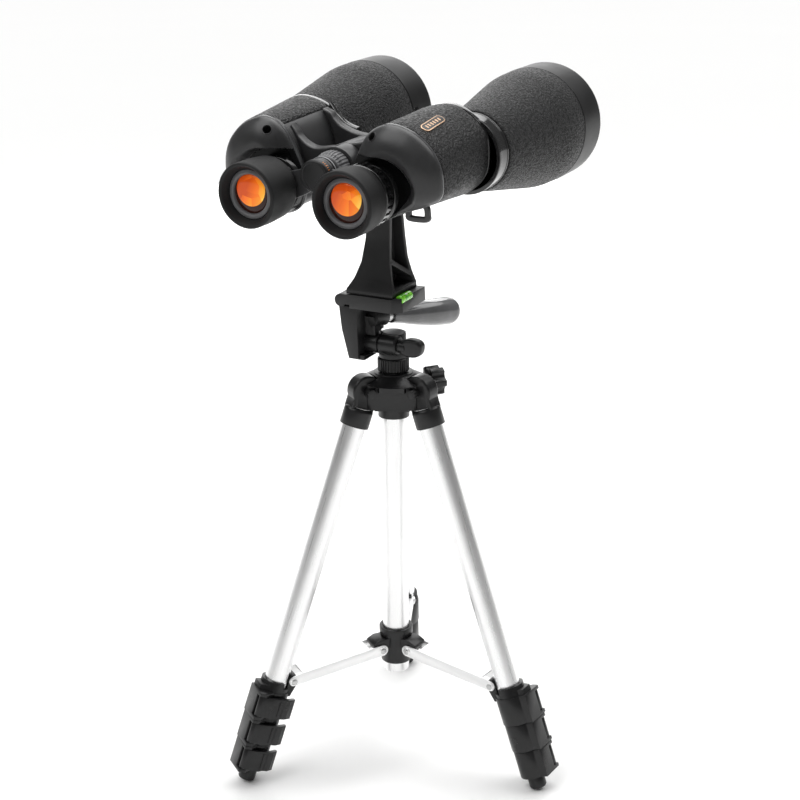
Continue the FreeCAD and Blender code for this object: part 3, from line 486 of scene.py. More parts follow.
def slab(points, low, high, bevel=0.5, segments=3):
    """A plate with its outline in x and z, between two y values, with rounded edges."""
    bm = bmesh.new()
    face = bm.faces.new([bm.verts.new((x, low, z)) for x, z in points])
    made = bmesh.ops.extrude_face_region(bm, geom=[face])
    top = [item for item in made["geom"] if isinstance(item, bmesh.types.BMVert)]
    bmesh.ops.translate(bm, verts=top, vec=(0, high - low, 0))
    bmesh.ops.recalc_face_normals(bm, faces=bm.faces)
    if bevel:
        sharp = [edge for edge in bm.edges if edge.calc_face_angle(0) > math.radians(28)]
        bmesh.ops.bevel(bm, geom=sharp, offset=bevel, segments=segments, profile=0.5,
                        affect="EDGES", clamp_overlap=True)
    return bm


def merge(*meshes):
    """Puts several bmeshes together in the first."""
    first = meshes[0]
    for other in meshes[1:]:
        temporary = bpy.data.meshes.new("part")
        other.to_mesh(temporary)
        other.free()
        first.from_mesh(temporary)
        bpy.data.meshes.remove(temporary)
    return first


def piece(name, bm, matrix, body, slot, *finishes, replaces=(), sharp=32, choose=None):
    """Makes an object of a bmesh: placed in the row frame, riding on a body."""
    if choose:
        for face in bm.faces:
            face.material_index = choose(face)
    bm.transform(matrix)
    if matrix.determinant() < 0:
        bmesh.ops.reverse_faces(bm, faces=bm.faces)
    mesh = bpy.data.meshes.new(name)
    bm.to_mesh(mesh)
    bm.free()
    for finish in finishes:
        mesh.materials.append(finish)
    made = bpy.data.objects.new(name, mesh)
    bpy.context.scene.collection.objects.link(made)
    shade(mesh, sharp)
    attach(made, body)
    if replaces:
        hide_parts(*replaces)
    return made


def shade(mesh, sharp):
    """Smooth shading, broken at edges sharper than an angle in degrees."""
    mesh.polygons.foreach_set("use_smooth", [True] * len(mesh.polygons))
    mesh.set_sharp_from_angle(angle=math.radians(sharp))
    mesh.update()


def applied(made):
    """Turns an object's modifiers into its mesh."""
    graph = bpy.context.evaluated_depsgraph_get()
    graph.update()
    mesh = bpy.data.meshes.new_from_object(made.evaluated_get(graph))
    made.modifiers.clear()
    made.data = mesh
    shade(mesh, EDGE_LIMIT)


BODIES = frame["record"]["behaviour"]["bodies"]
NODE_BODY = {node: body for body, nodes in BODIES.items() for node in nodes}
EDGE_LIMIT = 33


def rounded(node, width, slot, finish):
    """A copy of a CAD node with its edges rounded, in the node's place."""
    source = frame["nodes"][node].data
    bm = bmesh.new()
    bm.from_mesh(source)
    bmesh.ops.remove_doubles(bm, verts=bm.verts, dist=2e-6)
    bmesh.ops.dissolve_limit(bm, angle_limit=math.radians(0.6), verts=bm.verts, edges=bm.edges)
    made = piece(node + "_form", bm, Matrix.Identity(4), NODE_BODY[node], slot, finish,
                 replaces=[node], sharp=EDGE_LIMIT)
    edges = made.modifiers.new("edges", "BEVEL")
    edges.width = width * MM
    edges.segments = 2
    edges.limit_method = "ANGLE"
    edges.angle_limit = math.radians(EDGE_LIMIT)
    edges.use_clamp_overlap = True
    applied(made)


def carry(node, finish):
    """A CAD node that shows as it is, in a better material."""
    mesh = frame["nodes"][node].data
    mesh.materials.clear()
    mesh.materials.append(finish)


# ---- binoculars' halves
def half_piece(side, name, bm, slot, *finishes, part="half", **settings):
    """A piece of one side of the binoculars, riding on its half or its eyepiece."""
    piece("%s_%s" % (side, name), bm, on_side(side), "%s_%s" % (side, part), slot, *finishes, **settings)


def outline(share, side, count=176):
    """The housing's outline from its rear seam, 0, to its front, 1; the cover's at -1."""
    first, last = (COVER_OUTLINE, COVER_OUTLINE) if share < 0 else (REAR_OUTLINE, FRONT_OUTLINE)
    share = max(0.0, share)
    width = HOUSING_WIDTH[side][0] * (1 - share) + HOUSING_WIDTH[side][1] * share
    points = []
    for rear, front in zip(first, last):
        x, z = Vector(rear).lerp(Vector(front), share)
        points.append((HOUSING_INNER_X + (x - HOUSING_INNER_X) * width, z))
    return around(points, count)


def outline_row(side, share, y, depth):
    """The outline at one y, sunk by a depth."""
    return [Vector((p.x, y, p.y)) for p in inset(outline(share, side), depth)]


def housing_row(side, y, depth):
    """The housing's section at one y, sunk by a depth."""
    share = (y - COVER_SEAM) / (HOUSING_FRONT - COVER_SEAM)
    return outline_row(side, max(share, 0.0), y, depth)


def build_casting(side):
    """The painted casting under the leatherette, its rims and its front flange."""
    rows = [outline_row(side, -1, y, depth) for y, depth in
            ((39.0, 1.2), (41.0, 0.5), (43.6, 0.6), (44.6, 1.1))]
    rows += [housing_row(side, y, depth) for y, depth in
             ((46.0, 0.7), (60.0, 0.7), (80.0, 0.7), (94.6, 0.7), (95.5, 1.2))]
    half_piece(side, "casting", loft(rows), "black_metal", CASTING_PAINT, replaces=[side + "_housing"])
    rim = [outline_row(side, -1, y, depth) for y, depth in
           ((39.4, 0.9), (39.5, 0.3), (39.8, 0.0), (41.2, 0.0), (41.5, 0.3), (41.6, 0.9))]
    half_piece(side, "seam_rim", loft(rim), "black_metal", RIM_PAINT)
    low, high = FLANGE_SPAN
    flange = [housing_row(side, y, depth) for y, depth in
              ((low, 2.2), (low + 0.05, 0.7), (low + 0.4, 0.25), (high - 1.7, 0.35), (high - 0.7, 0.9),
               (high - 0.1, 2.0), (high, 3.4))]
    half_piece(side, "flange", loft(flange), "black_metal", GLOSS_PAINT)


def build_housing_skin(side):
    """The leatherette: an open band round the housing's top, outer side and bottom."""
    first, last = 13, 138
    profile = [(41.6, 0.9), (41.7, 0.35), (42.2, 0.02), (48, 0.0), (60, 0.0), (72, 0.0), (84, 0.0),
               (93.4, 0.0), (94.5, 0.12), (95.2, 0.5), (95.5, 1.2)]
    rows = []
    for y, depth in profile:
        outer = housing_row(side, y, depth)
        under = housing_row(side, y, depth + 0.9)
        edge = housing_row(side, y, depth + 0.25)
        rows.append([under[first - 1], edge[first], *outer[first + 1:last], edge[last], under[last + 1]])
    bm = bmesh.new()
    skin_rows(bm, rows, False)
    bmesh.ops.recalc_face_normals(bm, faces=bm.faces)
    outward = sum(face.normal.dot(face.calc_center_median() - Vector((50, 70, 10))) for face in bm.faces)
    if outward < 0:
        bmesh.ops.reverse_faces(bm, faces=bm.faces)
    half_piece(side, "housing_skin", bm, "leatherette_housing", HOUSING_SKIN)


def outward_share(x):
    """How far a point lies towards the outer side, where the recess opens out."""
    return clamped((x - 42) / 18)


def cover_depth(x, z, edge):
    """The cover's y at a point: a dome from its rim, sunk to the plate in the recess."""
    rise = min(1.0, edge / COVER_SHOULDER)
    dome = COVER_SEAM - 0.3 - (COVER_SEAM - 0.3 - COVER_REAR) * (1 - (1 - rise) ** 1.6) ** 0.625
    wide = 0.9 + 6.5 * outward_share(x)
    sunk = clamped(recess_depth(x, z) / wide + 0.15)
    sunk = sunk * sunk * (3 - 2 * sunk)
    return dome + (max(EYE_PLATE_Y, dome) - dome) * sunk


def recess_depth(x, z):
    """How far a point lies inside the recess's outline; negative outside it."""
    nearest = 1e9
    inside = False
    for (x0, z0), (x1, z1) in zip(RECESS, RECESS[1:] + RECESS[:1]):
        run = Vector((x1 - x0, z1 - z0))
        away = Vector((x - x0, z - z0))
        share = clamped(away.dot(run) / run.length_squared)
        nearest = min(nearest, (away - run * share).length)
        if (z0 > z) != (z1 > z) and x < x0 + (z - z0) * (x1 - x0) / (z1 - z0):
            inside = not inside
    return nearest if inside else -nearest


def build_cover(side):
    """The rear cover: a domed crescent, sunk to a glossy plate around the eyepiece."""
    loop = inset(outline(-1, side, 400), 0.3)
    centre = Vector((44.0, 6.0))
    steps = [0.0, 0.004, 0.01, 0.018, 0.028, 0.04, 0.055, 0.072] + [0.09 + 0.013 * n for n in range(70)]
    rows = [[Vector((p.x, COVER_SEAM, p.y)) for p in loop]]
    for share in steps:
        row = []
        for p in loop:
            point = p.lerp(centre, share)
            edge = (p - point).length * 0.94
            row.append(Vector((point.x, cover_depth(point.x, point.y, edge), point.y)))
        rows.append(row)
    bm = loft(rows)
    hole, axis = screw_place(side)
    inside = []
    for face in bm.faces:
        middle = face.calc_center_median()
        away = (middle - hole) - axis * (middle - hole).dot(axis)
        if away.length < SCREW_R + 0.15 and middle.y < COVER_SEAM - 0.5:
            inside.append(face)
    bmesh.ops.delete(bm, geom=inside, context="FACES")
    # faces deep in the recess take the plate's black, darkened as painted shade
    half_piece(side, "cover", bm, "black_metal", COVER_PAINT, PLATE_BLACK_AND_SHADE,
               choose=lambda face: int(in_shade(face.calc_center_median())))


def in_shade(point):
    """The plate's part of the cover: glossy black, darkened past the cover's paint as painted shade in the
    recess.
    """
    return recess_depth(point.x, point.z) > 0.6 + 5.0 * outward_share(point.x)


def screw_place(side):
    """The screw hole's middle on the dome, and the dome's normal there."""
    x, z = SCREW_PLACE
    loop = inset(outline(-1, side, 400), 0.3)

    def height(across, up):
        """The dome's y at a point."""
        edge = min((p - Vector((across, up))).length for p in loop)
        return cover_depth(across, up, edge)

    y = height(x, z)
    slope_x = (height(x + 1.5, z) - height(x - 1.5, z)) / 3
    slope_z = (height(x, z + 1.5) - height(x, z - 1.5)) / 3
    return Vector((x, y, z)), Vector((slope_x, -1.0, slope_z)).normalized()


def build_sockets(side):
    """The glossy ring that the eyepiece's tube slides in, and the screw well, near-black below its rim as
    painted shade.
    """
    profile = soften([(14.6, 36.2), (14.6, 33.4), (17.4, 33.4), (18.6, 36.2)], 0.5)
    half_piece(side, "eye_socket", lathe(profile, 96, EYEPIECE), "black_metal", GLOSS_PAINT)
    hole, axis = screw_place(side)
    well = soften([(SCREW_R + 0.55, -0.3), (SCREW_R + 0.5, 0.1), (SCREW_R + 0.1, 0.12), (SCREW_R - 0.1, -0.5),
                   (SCREW_R - 0.15, -6.0), (0, -6.0)], 0.12)
    bm = lathe(well, 48)
    bm.transform(Matrix.Translation(hole) @ AXIS_Y.rotation_difference(axis).to_matrix().to_4x4())
    # painted shade: the well's walls below its rim take the matte near-black
    half_piece(side, "screw_well", bm, "black_metal", COVER_PAINT, BAFFLE_BLACK_AND_WELL_SHADE,
               choose=lambda face: int((face.calc_center_median() - hole).dot(axis) < -0.35))


def lower_edge(x):
    """The arms' underside."""
    return HINGE_Z - 12.0 - 0.09 * x


def build_arms(side):
    """The saddle arms from the housing to their rings on the hinge."""
    for name, low, high, crest in HINGE_ARMS[side]:
        arm = saddle(low, high, crest, 1.6)
        end = REAR_RING_END if name == "rear" else high
        profile = soften([(5.2, low), (HINGE_RING_R, low), (HINGE_RING_R, end), (5.2, end)], 0.6)
        ring = lathe(profile, 96, HINGE)
        half_piece(side, name + "_arm", merge(arm, ring), "black_metal", CASTING_PAINT)
    low, high = FLANGE_SPAN
    crest = [(x, z) for x, z in FLANGE_CREST if x > 9]
    half_piece(side, "flange_arm", saddle(low, high, crest, 1.2), "black_metal", GLOSS_PAINT)


def saddle(low, high, crest, radius):
    """An arm that keeps its thickness along the axis and rises with a crest line."""
    middle = (low + high) / 2
    half = (high - low) / 2
    rows = [rounded_section(point.x, middle, half, lower_edge(point.x), point.y, radius)
            for point in through(crest, 40)]
    return loft(rows)


def rounded_section(x, middle, half, bottom, top, radius):
    """A rounded rectangle in y and z at one x."""
    points = []
    corners = ((half, top, 0), (-half, top, 90), (-half, bottom, 180), (half, bottom, 270))
    for y, z, start in corners:
        centre_y = y - math.copysign(radius, y)
        centre_z = z - radius if z == top else z + radius
        for index in range(7):
            angle = math.radians(start + 15 * index)
            points.append(Vector((x, middle + centre_y + radius * math.cos(angle),
                                  centre_z + radius * math.sin(angle))))
    return points


def build_strap_loop(side):
    """The square loop under the housing, a bent bar on a short tab."""
    path = [(x + LOOP_SHIFT[0], z + LOOP_SHIFT[1]) for x, z in
            ((59.0, -21.4), (69.7, -21.4), (70.9, -19.0), (69.2, -12.9), (58.6, -12.9), (57.8, -19.0))]
    bar = []
    loop = around(path, 48)
    count = len(loop)
    for index, point in enumerate(loop):
        run = (loop[(index + 1) % count] - loop[index - 1]).normalized()
        out = Vector((run.y, 0, -run.x))
        row = []
        for step in range(12):
            angle = 2 * math.pi * step / 12
            reach = 1.9 * squared(math.cos(angle), 0.6)
            rise = 1.75 * squared(math.sin(angle), 0.6)
            row.append(Vector((point.x, 45.0, point.y)) + out * reach + AXIS_Y * rise)
        bar.append(row)
    bm = bmesh.new()
    skin_rows(bm, bar + bar[:1], True)
    bmesh.ops.remove_doubles(bm, verts=bm.verts, dist=0.001)
    bmesh.ops.recalc_face_normals(bm, faces=bm.faces)
    tab = [(x + LOOP_SHIFT[0], z + LOOP_SHIFT[1]) for x, z in
           ((58.5, -13.6), (69.5, -13.6), (71.0, -5.0), (57.5, -5.0))]
    half_piece(side, "strap_loop", merge(bm, slab(tab, 43.2, 46.8, 0.6)), "black_metal", CASTING_PAINT)


# ---- the barrels
def build_barrel(side):
    """The objective barrel: neck, leatherette cone, hood, baffle and lens."""
    neck = soften([(22.5, 97.0), (24.9, 97.0), (24.9, 99.6), (24.5, 100.0), (24.5, 107.6), (24.9, 108.0),
                   (24.9, 110.4), (23.0, 110.4)], 0.35)
    half_piece(side, "neck", lathe(neck, 128, OBJECTIVE), "black_metal", GLOSS_PAINT,
               replaces=[side + "_barrel"])
    skin = soften([(24.2, 110.0), (25.5, 110.2), (26.3, 112.4), (38.7, 180.0, 6.0), (39.2, HOOD_SEAM - 0.7),
                   (38.9, HOOD_SEAM - 0.1), (37.5, HOOD_SEAM)], 0.5)
    skin = lathe(refined(skin, 6.0), 160, OBJECTIVE)
    half_piece(side, "barrel_skin", skin, "leatherette_barrel", BARREL_SKIN)
    hood = soften([(37.4, HOOD_SEAM), (38.8, HOOD_SEAM + 0.1), (39.3, HOOD_SEAM + 0.6), (39.3, 222.6, 1.8),
                   (38.0, 224.6, 1.5), (36.4, 224.5, 0.8), (36.0, 222.0), (36.0, 209.4)], 0.4, 6)
    half_piece(side, "hood", lathe(hood, 160, OBJECTIVE), "black_metal", HOOD_PAINT)
    baffle = [(35.9, 211.5), (35.9, 209.2), (34.4, 209.0), (34.2, 204.0), (33.0, 182.0), (22.0, 111.0)]
    half_piece(side, "baffle", lathe(baffle, 96, OBJECTIVE), "black_metal", BAFFLE_BLACK_AND_WELL_SHADE)
    ring = soften([(35.9, 212.6), (35.9, 214.0), (34.0, 214.2), (33.0, 213.0), (33.0, 211.0)], 0.3)
    half_piece(side, "lens_ring", lathe(ring, 128, OBJECTIVE), "black_metal", CASTING_PAINT)
    dome = [(34.0 * math.sin(math.radians(6 * n)), 208.5 + 4.6 * math.cos(math.radians(6 * n)))
            for n in range(16)]
    half_piece(side, "objective_glass", lathe(dome, 128, OBJECTIVE), "lens_glass", OBJECTIVE_GLASS,
               replaces=[side + "_objective_lens"])


def refined(points, step):
    """Adds points along a profile's long runs."""
    result = [points[0]]
    for point in points[1:]:
        run = point - result[-1]
        parts = max(1, int(run.length / step))
        start = result[-1]
        result.extend(start + run * (index + 1) / parts for index in range(parts))
    return result


def objective_finish():
    """Coated objective glass over a dark tube: deep red with an amber heart."""
    made = Finish("objective_glass", (0.1, 0.012, 0.004), 0.03, Coat_Weight=1.0, Coat_Roughness=0.01,
                  IOR=1.7)
    made.color(made.noise(18.0), [(0.3, (0.05, 0.006, 0.002)), (0.7, (0.16, 0.03, 0.006))])
    return made.material


OBJECTIVE_GLASS = objective_finish()


# ---- the eyepieces
def build_eyepiece(side):
    """The eyepiece: rubber cup, ring, tube, arm to the bridge and eye lens."""
    mouth = [(15.4, 6.6), (16.2, 4.2, 0.8), (18.0, 0.5, 0.9), (19.4, 0.02, 0.8), (20.5, 1.0, 0.9)]
    skirt = {"right": [(20.6, 14.5, 1.5), (20.0, 18.6, 1.2), (19.2, 20.3, 0.8), (17.6, 20.5)],
             "left": [(20.6, 13.0, 3.0), (20.1, 21.0, 2.0), (19.7, 26.6, 1.2), (18.8, 28.2, 0.8),
                      (17.0, 28.4)]}
    cup = soften(mouth + skirt[side], 0.5, 5)
    half_piece(side, "eyecup", lathe(cup, 144, EYEPIECE), "eyecup_rubber", EYECUP_RUBBER,
               part="eyepiece", replaces=[side + "_eyepiece"])
    ring = soften([(15.6, 6.8), (15.2, 5.6, 0.4), (12.9, 5.0, 0.5), (12.2, 6.2), (11.6, 8.6)], 0.3)
    half_piece(side, "eye_ring", lathe(ring, 128, EYEPIECE), "black_metal", EYE_RING, part="eyepiece")
    radius = 16.4 if side == "right" else 17.4
    tube = soften([(radius - 3, 20.3), (radius, 20.4), (radius, 22.2, 0.3), (radius - 0.4, 22.6, 0.2),
                   (radius - 0.4, 23.0, 0.2), (radius, 23.4, 0.3), (radius, 28.2, 1.0), (17.1, 28.6),
                   (17.1, 32.3), (14.4, 32.4), (14.4, 40.0)], 0.4)
    half_piece(side, "eye_barrel", lathe(tube, 128, EYEPIECE), "black_metal", GLOSS_PAINT,
               part="eyepiece")
    low, high = EYE_ARM_SPAN[side]
    plate = slab([(0, HINGE_Z + 7.6), (11, 12.4), (21, 10.0), (21, -8.0), (11, -4.0), (0, HINGE_Z - 7.6)],
                 low, high, 0.5)
    hole = lathe(soften([(6.15, low), (10.1, low), (10.1, high), (6.15, high)], 0.3), 96, HINGE)
    half_piece(side, "eye_arm", merge(plate, hole), "black_metal", CASTING_PAINT, part="eyepiece")
    dome = [(12.0 * math.sin(math.radians(6 * n)), 7.0 - 2.3 * math.cos(math.radians(6 * n)))
            for n in range(16)]
    half_piece(side, "eye_glass", lathe(dome, 96, EYEPIECE), "lens_glass", lens_finish(side),
               part="eyepiece", replaces=[side + "_eye_lens"])


def teeth(count, depth, low, high):
    """A ripple that cuts flat-bottomed notches between two places along the axis."""
    def ripple(angle, radius, along):
        """The change of radius at a point."""
        if not low <= along <= high:
            return 0.0
        wave = math.sin(count * angle)
        return -depth * clamped(1.6 * wave + 0.3)
    return ripple


def build_diopter_ring():
    """The notched ring on the right eyepiece."""
    profile = refined(soften([(16.6, 21.1), (18.8, 21.1), (19.4, 21.6), (19.4, 22.4), (19.6, 27.6),
                              (19.0, 28.6), (16.6, 28.6)], 0.3), 1.0)
    bm = lathe(profile, 360, EYEPIECE, teeth(24, 1.1, 22.3, 28.4))
    piece("diopter_grip", bm, BINOCULARS, "diopter_ring", "black_plastic", GLOSS_PAINT,
          replaces=["diopter_ring"])


def build_centre():
    """The bridge with its cap and marks, and the ribbed focus wheel."""
    cap = soften([(0, 25.6), (8.0, 25.5, 0.4), (8.5, 25.8, 0.4), (9.1, 25.4, 0.5), (10.3, 26.2, 0.9),
                  (10.4, 27.4), (10.4, 29.2), (6.0, 29.2), (6.0, 34.2), (10.3, 34.3), (10.3, 36.5),
                  (3.2, 36.6)], 0.4)
    piece("bridge_cap", lathe(cap, 120, HINGE), BINOCULARS, "eye_bridge", "black_metal",
          BRIDGE_PAINT, replaces=["eye_bridge"])
    line = soften([(10.2, 35.0), (10.5, 35.1), (10.5, 35.6), (10.2, 35.7)], 0.1)
    piece("bridge_line", lathe(line, 120, HINGE), BINOCULARS, "eye_bridge", "black_metal", BRIGHT_LINE)
    low, high = WHEEL_SPAN
    profile = soften([(3.2, low), (9.6, low, 0.5), (10.4, low + 0.8), (10.6, low + 3.4), (11.4, low + 4.6),
                      (12.0, low + 6.2), (12.0, high - 0.9), (11.3, high), (5.2, high)], 0.4)
    bm = lathe(refined(profile, 0.8), 384, HINGE, teeth(32, 0.5, low + 1.2, high - 1.1))
    piece("focus_grip", bm, BINOCULARS, "focus_wheel", "wheel_plastic", WHEEL_PLASTIC,
          replaces=["focus_wheel"])
    marks = []
    for index in range(9):
        half = (1.9 if index in (2, 6) else 1.1) / 2
        tick = slab([(-0.22, 0.0), (0.22, 0.0), (0.22, 0.14), (-0.22, 0.14)], MARKS_Y - half,
                    MARKS_Y + half, 0.0)
        turn = Matrix.Rotation(math.radians(32 + 8 * index), 4, "Y")
        tick.transform(Matrix.Translation(HINGE) @ turn @ Matrix.Translation((0, 0, 10.36)))
        marks.append(tick)
    piece("bridge_marks", merge(*marks), BINOCULARS, "eye_bridge", "wheel_plastic", MARK_ORANGE)


def mark_orange():
    """The orange paint of the bridge's marks."""
    made = Finish("mark_orange", (0.75, 0.22, 0.03), 0.4)
    made.color(made.noise(800.0), [(0.3, (0.68, 0.19, 0.02)), (0.7, (0.85, 0.3, 0.05))])
    made.bump(made.noise(1500.0), 0.01, 0.4)
    return made.material


MARK_ORANGE = mark_orange()


def build_badge():
    """A plain gold-edged plate on the right half, without lettering."""
    height, slope = skin_top("right", BADGE_PLACE.x, BADGE_PLACE.y)
    ahead, _ = skin_top("right", BADGE_PLACE.x, BADGE_PLACE.y + 10)
    matrix = BINOCULARS @ Matrix.Translation((BADGE_PLACE.x, BADGE_PLACE.y, height + 0.15))
    matrix = matrix @ Matrix.Rotation(math.atan2(ahead - height, 10), 4, "X")
    matrix = matrix @ Matrix.Rotation(-math.atan(slope), 4, "Y") @ Matrix.Rotation(math.radians(90), 4, "X")
    rim = slab(stadium(12.2, 3.3), -0.55, 0.25, 0.2)
    piece("badge_rim", rim, matrix, "right_half", "leatherette_housing", BRASS)
    field = slab(stadium(11.5, 2.6), 0.0, 0.32, 0.05)
    piece("badge_field", field, matrix, "right_half", "leatherette_housing", BADGE_FIELD)
    bars = []
    for index in range(6):
        z = -7.5 + 3.0 * index
        bar = [(-1.3, z - 0.75), (1.3, z - 0.75), (1.3, z + 0.75), (-1.3, z + 0.75)]
        bars.append(slab(bar, 0.1, 0.4, 0.05))
    piece("badge_bars", merge(*bars), matrix, "right_half", "leatherette_housing", BRASS)


def skin_top(side, x, y):
    """The height and slope of the housing's top at a place."""
    row = housing_row(side, y, 0.0)
    for a, b in zip(row, row[1:] + row[:1]):
        if min(a.x, b.x) <= x <= max(a.x, b.x) and a.z > 15:
            slope = (b.z - a.z) / (b.x - a.x)
            return a.z + slope * (x - a.x), slope
    raise ValueError("no housing there")


BADGE_FIELD = plastic("badge_field", 0.02, 0.3, 0.01)


def stadium(half_length, half_width):
    """An outline with round ends, its length along z."""
    points = []
    straight = half_length - half_width
    for end in (1, -1):
        for index in range(13):
            angle = math.radians(15 * index) if end > 0 else math.radians(180 + 15 * index)
            points.append((half_width * math.cos(angle), end * straight + half_width * math.sin(angle)))
    return points


for half in SIDES:
    build_casting(half)
    build_housing_skin(half)
    build_cover(half)
    build_sockets(half)
    build_arms(half)
    build_strap_loop(half)
    build_barrel(half)
    build_eyepiece(half)
build_diopter_ring()
build_centre()
build_badge()
rounded("hinge_axle", 0.3, "black_metal", CASTING_PAINT)


# ---- head and adapter
def build_grip():
    """The moulded grip, with an oval thumb recess."""
    along = (HANDLE_END - HANDLE_START).normalized()
    reach = (HANDLE_END - HANDLE_START).length
    turn = AXIS_Y.rotation_difference(along).to_matrix().to_4x4()
    place = TILT @ Matrix.Translation(HANDLE_START) @ turn
    profile = soften([(3.9, 12.0), (5.0, 12.0, 0.8), (5.8, 22.0, 4.0), (7.6, 34.0, 6.0), (10.0, 56.0, 9.0),
                      (10.0, reach - 4.5, 3.0), (8.0, reach - 0.6, 2.5), (0, reach)], 0.5, 6)

    def recess(angle, radius, along_axis):
        """The oval hollow on top."""
        across = math.atan2(math.sin(angle - math.pi / 2), math.cos(angle - math.pi / 2)) * radius
        oval = (across / 5.0) ** 2 + ((along_axis - 58.0) / 13.0) ** 2
        return -1.3 * max(0.0, 1 - oval) ** 0.5 if oval < 1 else 0.0

    bm = lathe(refined(profile, 0.8), 180, ripple=recess)
    piece("grip_form", bm, place, "grip", "grip_plastic", GRIP_PLASTIC, replaces=["handle_grip"])


def build_vial():
    """The bubble level: a green-filled tube with its bubble and two rings."""
    place = TILT @ Matrix.Translation(VIAL_PLACE)
    profile = soften([(0, -VIAL_END), (VIAL_R, -VIAL_END), (VIAL_R + 0.05, VIAL_END), (0, VIAL_END)], 0.7)
    piece("vial_tube", lathe(profile, 48), place, "platform", "vial", VIAL_GREEN, replaces=["level_vial"])
    bubble = lathe([(1.15 * math.sin(math.radians(10 * n)), -2.0 * math.cos(math.radians(10 * n)))
                    for n in range(19)], 24)
    bubble.transform(Matrix.Translation((0.9, 0.4, 1.75)))
    piece("vial_bubble", bubble, place, "platform", "vial", VIAL_BUBBLE)
    rings = []
    for y in (-2.6, 2.6):
        profile = soften([(2.9, y - 0.2), (2.99, y - 0.15), (2.99, y + 0.15), (2.9, y + 0.2)], 0.05)
        rings.append(lathe(profile, 48))
    piece("vial_rings", merge(*rings), place, "platform", "vial", BLACK_PLASTIC)


def vial_green():
    """The vial's clear green fluid, with a faint painted glow as if lit from within."""
    made = Finish("vial_green", (0.04, 0.38, 0.02), 0.06, Coat_Weight=1.0, Coat_Roughness=0.02)
    stops = [(0.3, (0.02, 0.26, 0.01)), (0.7, (0.22, 0.62, 0.03))]
    made.color(made.noise(300.0), stops)
    # painted glow: the fluid emits its own green light, though it is no lamp
    made.glow(made.noise(300.0), stops, 0.25)
    return made.material


VIAL_GREEN = vial_green()
VIAL_BUBBLE = plastic("vial_bubble", 0.75, 0.1, 0.0)


def across_barrel(matrix):
    """A frame on the tilt axis whose y axis runs along the barrel."""
    return matrix @ Matrix.Rotation(math.radians(-90), 4, "Z")


def build_tilt_barrel():
    """The two sleeves of the tilt barrel, one on the pan block and one on the arm."""
    still = across_barrel(STAND @ Matrix.Translation(TILT_AXIS))
    radius = BARREL_SLEEVE_R
    inner = soften([(5.0, -4.0), (radius, -4.0), (radius, 8.4), (5.4, 9.2), (4.6, 9.2)], 0.6)
    piece("barrel_sleeve", lathe(inner, 72), still, "pan", "black_plastic", BLACK_PLASTIC)
    outer = soften([(5.0, -21.0), (radius, -21.0), (radius, -4.9), (5.0, -4.9)], 0.6)
    piece("barrel_arm_sleeve", lathe(outer, 72), across_barrel(TILT), "tilt", "black_plastic", BLACK_PLASTIC)


def build_tilt_wing():
    """The clamp's oval thumb plate on its stem."""
    place = STAND @ Matrix.Translation(TILT_AXIS)
    oval = []
    for step in range(40):
        angle = 2 * math.pi * step / 40
        across = 8.4 * squared(math.cos(angle), 0.8)
        rise = 6.4 * squared(math.sin(angle), 0.8)
        oval.append((19.6 + across + 0.12 * rise, 0.2 + rise))
    plate = slab(oval, -4.2, 3.8, 2.2, 5)
    piece("wing_plate", plate, place, "tilt_wing", "black_plastic", BLACK_PLASTIC, replaces=["tilt_wing"])
    stem = soften([(2.5, -15.8), (2.6, 8.6), (4.6, 9.6), (4.9, 15.5), (0.0, 16.0)], 0.5)
    piece("wing_stem", lathe(stem, 56), across_barrel(place), "tilt_wing", "black_plastic", BLACK_PLASTIC)


def flare_adapter():
    """Widens the left of the adapter's foot in a smooth curve."""
    mesh = bpy.data.objects["adapter_form"].data
    back = TILT.inverted()
    for vertex in mesh.vertices:
        place = back @ vertex.co
        low = clamped((FLARE_TOP - place.z) / FLARE_RUN)
        if place.y < FLARE_FRONT:
            place.x += FLARE_WIDTH * low ** 2.2 * min(0.0, place.x) / FLARE_SIDE
        vertex.co = TILT @ place
    mesh.update()


def build_pan_cap():
    """The light cap on the pan boss."""
    place = STAND @ Matrix.Rotation(math.radians(90), 4, "X")
    top = PAN_CAP_TOP
    profile = soften([(0, top), (7.4, top - 0.1, 0.5), (8.1, top - 0.6), (8.1, top - 1.4)], 0.3)
    piece("pan_cap", lathe(profile, 72), place, "pan", "black_plastic", CAP_PLASTIC)


build_grip()
build_vial()
build_pan_cap()
build_tilt_barrel()
build_tilt_wing()
for node, width in (("pan_block", 0.4), ("tilt_arm", 1.5), ("platform", 0.7)):
    rounded(node, width, "black_plastic", BLACK_PLASTIC)
rounded("adapter", 0.5, "adapter_plastic", ADAPTER_PLASTIC)
flare_adapter()
rounded("adapter_screw", 0.4, "black_plastic", BLACK_PLASTIC)
carry("handle_rod", STEEL)


# ---- tripod
def leg_direction(azimuth):
    """The run of a leg, upwards along its tubes."""
    angle = math.radians(azimuth)
    lean = math.radians(LEG_LEAN)
    return Vector((-math.cos(angle) * math.sin(lean), -math.sin(angle) * math.sin(lean), math.cos(lean)))


def build_rivets(name, azimuth):
    """Domed rivet heads on both cheeks of a spreader brace."""
    turn = STAND @ Matrix.Rotation(math.radians(azimuth), 4, "Z")
    heads = []
    for x, z in (BRACE_INNER, BRACE_OUTER):
        for way in (1, -1):
            dome = lathe(soften([(0, 1.55), (1.7, 1.35, 0.8), (2.75, 0.5, 0.5), (2.8, -0.2)], 0.4), 32)
            if way < 0:
                dome.transform(Matrix.Rotation(math.pi, 4, "Z"))
            dome.transform(Matrix.Translation((x, way * BRACE_HALF_WIDTH, z)))
            heads.append(dome)
    piece(name + "_rivets", merge(*heads), turn, name + "_brace", "steel", STEEL)


